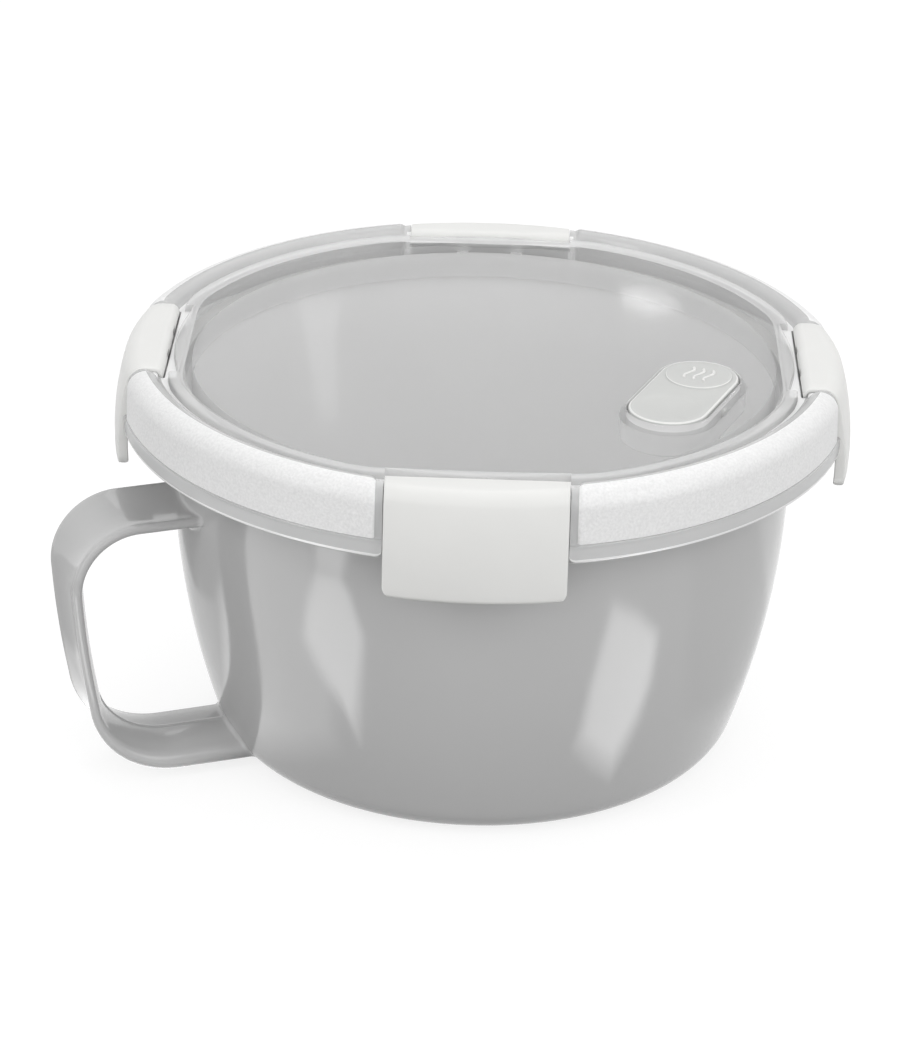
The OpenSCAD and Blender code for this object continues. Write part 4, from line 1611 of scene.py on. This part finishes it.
@dataclass(frozen=True)
class Lamp:
    """Soft box that faces the object; its lengths are in metres.

    Attributes:
        name: What the lamp is called.
        bearing: Angle from the camera's direction, in degrees, with left negative.
        elevation: Angle above the table, in degrees.
        distance: How far it hangs from the object.
        size: Width and height.
        power: Strength in watts.
    """

    name: str
    bearing: float
    elevation: float
    distance: float
    size: Point2
    power: float

    def build(self, toward: float, target: Vector) -> None:
        """Hangs the lamp.

        Args:
            toward: Direction of the camera round the object, in radians.
            target: Place that the lamp faces.
        """
        angle, rise = toward + math.radians(self.bearing), math.radians(self.elevation)
        away = Vector((math.cos(angle) * math.cos(rise), math.sin(angle) * math.cos(rise), math.sin(rise)))
        lamp = bpy.data.lights.new(self.name, "AREA")
        lamp.shape, lamp.energy = "RECTANGLE", self.power
        lamp.size, lamp.size_y = self.size
        holder = add_object(self.name, lamp)
        holder.location = target + away * self.distance
        holder.rotation_euler = away.to_track_quat("Z", "Y").to_euler()


@dataclass(frozen=True)
class Card:
    """Bright sheet beside the object that shows only in its reflections, and fades towards its edge.

    Attributes:
        name: What the card is called.
        strength: Strength of its middle.
        outline: Its corners.
        core: Size of the evenly bright middle, as a share of the card's.
    """

    name: str
    strength: float
    outline: list[Point3]
    core: float = 0.72

    def material(self) -> bpy.types.Material:
        """Makes the card's light.

        Returns:
            A light that fades out where the mesh's own glow attribute falls to nothing.
        """
        made = bpy.data.materials.new(self.name + "_lit")
        tree = fresh_tree(made)
        glow = add_node(tree, "ShaderNodeAttribute", attribute_name="glow").outputs["Fac"]
        lit = add_node(tree, "ShaderNodeEmission", {"Color": PURE_WHITE, "Strength": self.strength})
        clear = add_node(tree, "ShaderNodeBsdfTransparent")
        mixed = add_node(tree, "ShaderNodeMixShader", {0: glow, 1: clear, 2: lit})
        add_node(tree, "ShaderNodeOutputMaterial", {"Surface": mixed})
        return made

    def build(self) -> None:
        """Makes the card, which neither the camera nor any shadow sees."""
        outer = [Vector(p) * MM for p in self.outline]
        count = len(outer)
        middle = sum(outer, Vector()) / count
        inner = [middle + (p - middle) * self.core for p in outer]
        faces = [(i, (i + 1) % count, count + (i + 1) % count, count + i) for i in range(count)]
        mesh = bpy.data.meshes.new(self.name)
        mesh.from_pydata(outer + inner, [], faces + [tuple(range(count, 2 * count))])
        glow = mesh.attributes.new("glow", "FLOAT", "POINT")
        for i in range(count, 2 * count):
            glow.data[i].value = 1.0
        mesh.materials.append(self.material())
        card = add_object(self.name, mesh)
        card.visible_camera = card.visible_diffuse = card.visible_shadow = False
        card.visible_transmission = card.visible_volume_scatter = False


@dataclass
class Studio:
    """Pale floor, soft lamps, white surroundings and the photograph's camera."""

    camera_at: Point3 = (-263.1, -703.0, 405.4)
    heading: float = -20.0
    depression: float = 25.4365
    roll: float = 1.4011
    focal_pixels: float = 3597.0
    image_height: float = 1050.0
    sensor: float = 36.0
    clip_range: Point2 = (0.01, 50.0)
    lamp_target: float = 60.0
    world_light: float = 0.69
    floor_half: float = 4.0
    floor_shade: str = "#8E8E8E"
    floor_glow: float = 0.8
    lamps: tuple[Lamp, ...] = (
        Lamp("left_strip", -54.0, 22.0, 1.1, (0.24, 1.0), 2.4),
        Lamp("right_box", 50.0, 22.0, 1.1, (0.55, 1.0), 3.6),
        Lamp("front_fill", -4.0, 22.0, 1.5, (1.2, 0.8), 2.4),
        Lamp("back_box", 172.0, 60.0, 1.2, (1.0, 1.0), 3.1),
    )
    cards: tuple[Card, ...] = (
        Card("left_card", 4.9, level(0.3, [(-195, -63), (-188, -93), (-158, -96), (-112, -88), (-83, -68),
                                           (-58, -51), (-74, -51), (-96, -44), (-123, -35), (-153, -43)])),
        Card("right_card", 4.9, level(0.3, [(65, -173), (81, -143), (84, -113), (57, -89), (38, -77),
                                            (16, -65), (11, -72), (6, -81), (20, -109), (39, -138)])),
        Card("left_wide_card", 2.2, level(0.2, [(-60, -44), (-100, -60), (-170, -66), (-250, -50),
                                                (-235, 60), (-120, 48), (-62, 14)]), 0.84),
        Card("right_wide_card", 0.8, level(0.2, [(50, -62), (85, -90), (180, -150), (220, -20), (100, 20),
                                                 (66, -12)]), 0.8),
        Card("rear_grey_card", 0.65, level(0.1, [(-105, 45), (-175, 50), (-230, 170), (-60, 180),
                                                 (-85, 70)]), 0.9),
        Card("far_left_card", 2.2, [(103, 480, 271), (122, 474, 271), (112, 451, 277), (95, 395, 292),
                                    (87, 397, 292), (99, 455, 277)]),
        Card("far_right_card", 9.0, [(216, 442, 270), (225, 440, 270), (234, 430, 271), (238, 421, 273),
                                     (224, 426, 273), (216, 434, 272)]),
    )

    def add_camera(self) -> None:
        """Places the camera as the photograph was taken."""
        dip, roll = math.radians(self.depression), math.radians(self.roll)
        right = Vector((1, 0, 0))
        up = Vector((0, math.sin(dip), math.cos(dip)))
        back = Vector((0, -math.cos(dip), math.sin(dip)))
        rolled_right = right * math.cos(roll) + up * math.sin(roll)
        rolled_up = up * math.cos(roll) - right * math.sin(roll)
        turn = Matrix.Rotation(math.radians(self.heading), 3, "Z")
        axes = turn @ Matrix((rolled_right, rolled_up, back)).transposed()
        lens = bpy.data.cameras.new("photo_camera")
        lens.sensor_fit = "VERTICAL"
        lens.sensor_height = self.sensor
        lens.lens = self.focal_pixels * self.sensor / self.image_height
        lens.clip_start, lens.clip_end = self.clip_range
        camera = add_object("photo_camera", lens)
        camera.matrix_world = Matrix.Translation(Vector(self.camera_at) * MM) @ axes.to_4x4()
        bpy.context.scene.camera = camera

    @staticmethod
    def seen(tree: bpy.types.NodeTree) -> bpy.types.Node:
        """Adds nodes that tell the rays that show a surface from those that only light by it.

        Args:
            tree: Tree that gets the nodes.

        Returns:
            Node that gives 1 to the camera's rays, to reflections and to what shows through.
        """
        path = add_node(tree, "ShaderNodeLightPath").outputs
        mirrored = add_node(tree, "ShaderNodeMath", {0: path["Is Camera Ray"], 1: path["Is Glossy Ray"]},
                            operation="MAXIMUM")
        return add_node(tree, "ShaderNodeMath", {0: mirrored, 1: path["Is Transmission Ray"]},
                        operation="MAXIMUM")

    def add_world(self) -> None:
        """White surroundings for the eye and for reflections, and a softer level as light."""
        world = bpy.data.worlds.new("studio")
        bpy.context.scene.world = world
        tree = fresh_tree(world)
        dim = add_node(tree, "ShaderNodeBackground", {"Color": PURE_WHITE, "Strength": self.world_light})
        white = add_node(tree, "ShaderNodeBackground", {"Color": PURE_WHITE, "Strength": 1.0})
        mixed = add_node(tree, "ShaderNodeMixShader", {0: self.seen(tree), 1: dim, 2: white})
        add_node(tree, "ShaderNodeOutputWorld", {"Surface": mixed})

    def add_floor(self) -> None:
        """Lays a white matt floor that keeps the object's shadow."""
        made = bpy.data.materials.new("studio_floor_matt")
        tree = fresh_tree(made)
        glow = add_node(tree, "ShaderNodeMath", {0: self.seen(tree), 1: self.floor_glow},
                        operation="MULTIPLY")
        matt = add_node(tree, "ShaderNodeBsdfDiffuse", {"Color": linear(self.floor_shade)})
        lit = add_node(tree, "ShaderNodeEmission", {"Color": PURE_WHITE, "Strength": glow})
        both = add_node(tree, "ShaderNodeAddShader", {0: matt, 1: lit})
        add_node(tree, "ShaderNodeOutputMaterial", {"Surface": both})
        half = self.floor_half
        corners = level(0, [(-half, -half), (half, -half), (half, half), (-half, half)])
        mesh = bpy.data.meshes.new("studio_floor")
        mesh.from_pydata(corners, [], [(0, 1, 2, 3)])
        mesh.materials.append(made)
        add_object("studio_floor", mesh)

    def build(self) -> None:
        """Sets up everything round the object."""
        bpy.context.scene.view_settings.view_transform = "Standard"
        self.add_camera()
        toward = math.atan2(self.camera_at[1], self.camera_at[0])
        for lamp in self.lamps:
            lamp.build(toward, Vector((0, 0, self.lamp_target)) * MM)
        self.add_world()
        self.add_floor()
        for card in self.cards:
            card.build()


def main() -> None:
    """Builds the mug from the foot up, then the studio."""
    logging.basicConfig(level=logging.INFO, format="%(name)s: %(message)s")
    grey = GREY_PP.material()
    bowl = Bowl()
    # The inside's paler colour is painted light.
    bowl.build([grey, PALE_PP.material()])
    Handle(bowl).build(grey)
    lid = Lid()
    # The edge finish is painted light, on the lid's edges and on the hinges.
    edge = EDGE_GLOW_PP.material()
    lid.build_shell([CLEAR_PP.material(), FROSTED_PP.material(), SKIRT_PP.material(), edge,
                     BEAD_PP.material(), RIB_PP.material()])
    lid.build_hinges(edge)
    silicone = SILICONE.material()
    Gasket().build(silicone)
    Clip().build(WHITE_PP.material(), lid.turn)
    # The milky edge finish is painted light on the flap's rounded edges and its raised sign.
    milky_edge = MILKY_EDGE_PP.material()
    vent = Vent(lid.vent_matrix())
    vent.build_flap([MILKY_PP.material(), milky_edge])
    vent.build_waves(milky_edge)
    vent.build_plug(silicone)
    Studio().build()


if __name__ == "__main__":
    main()
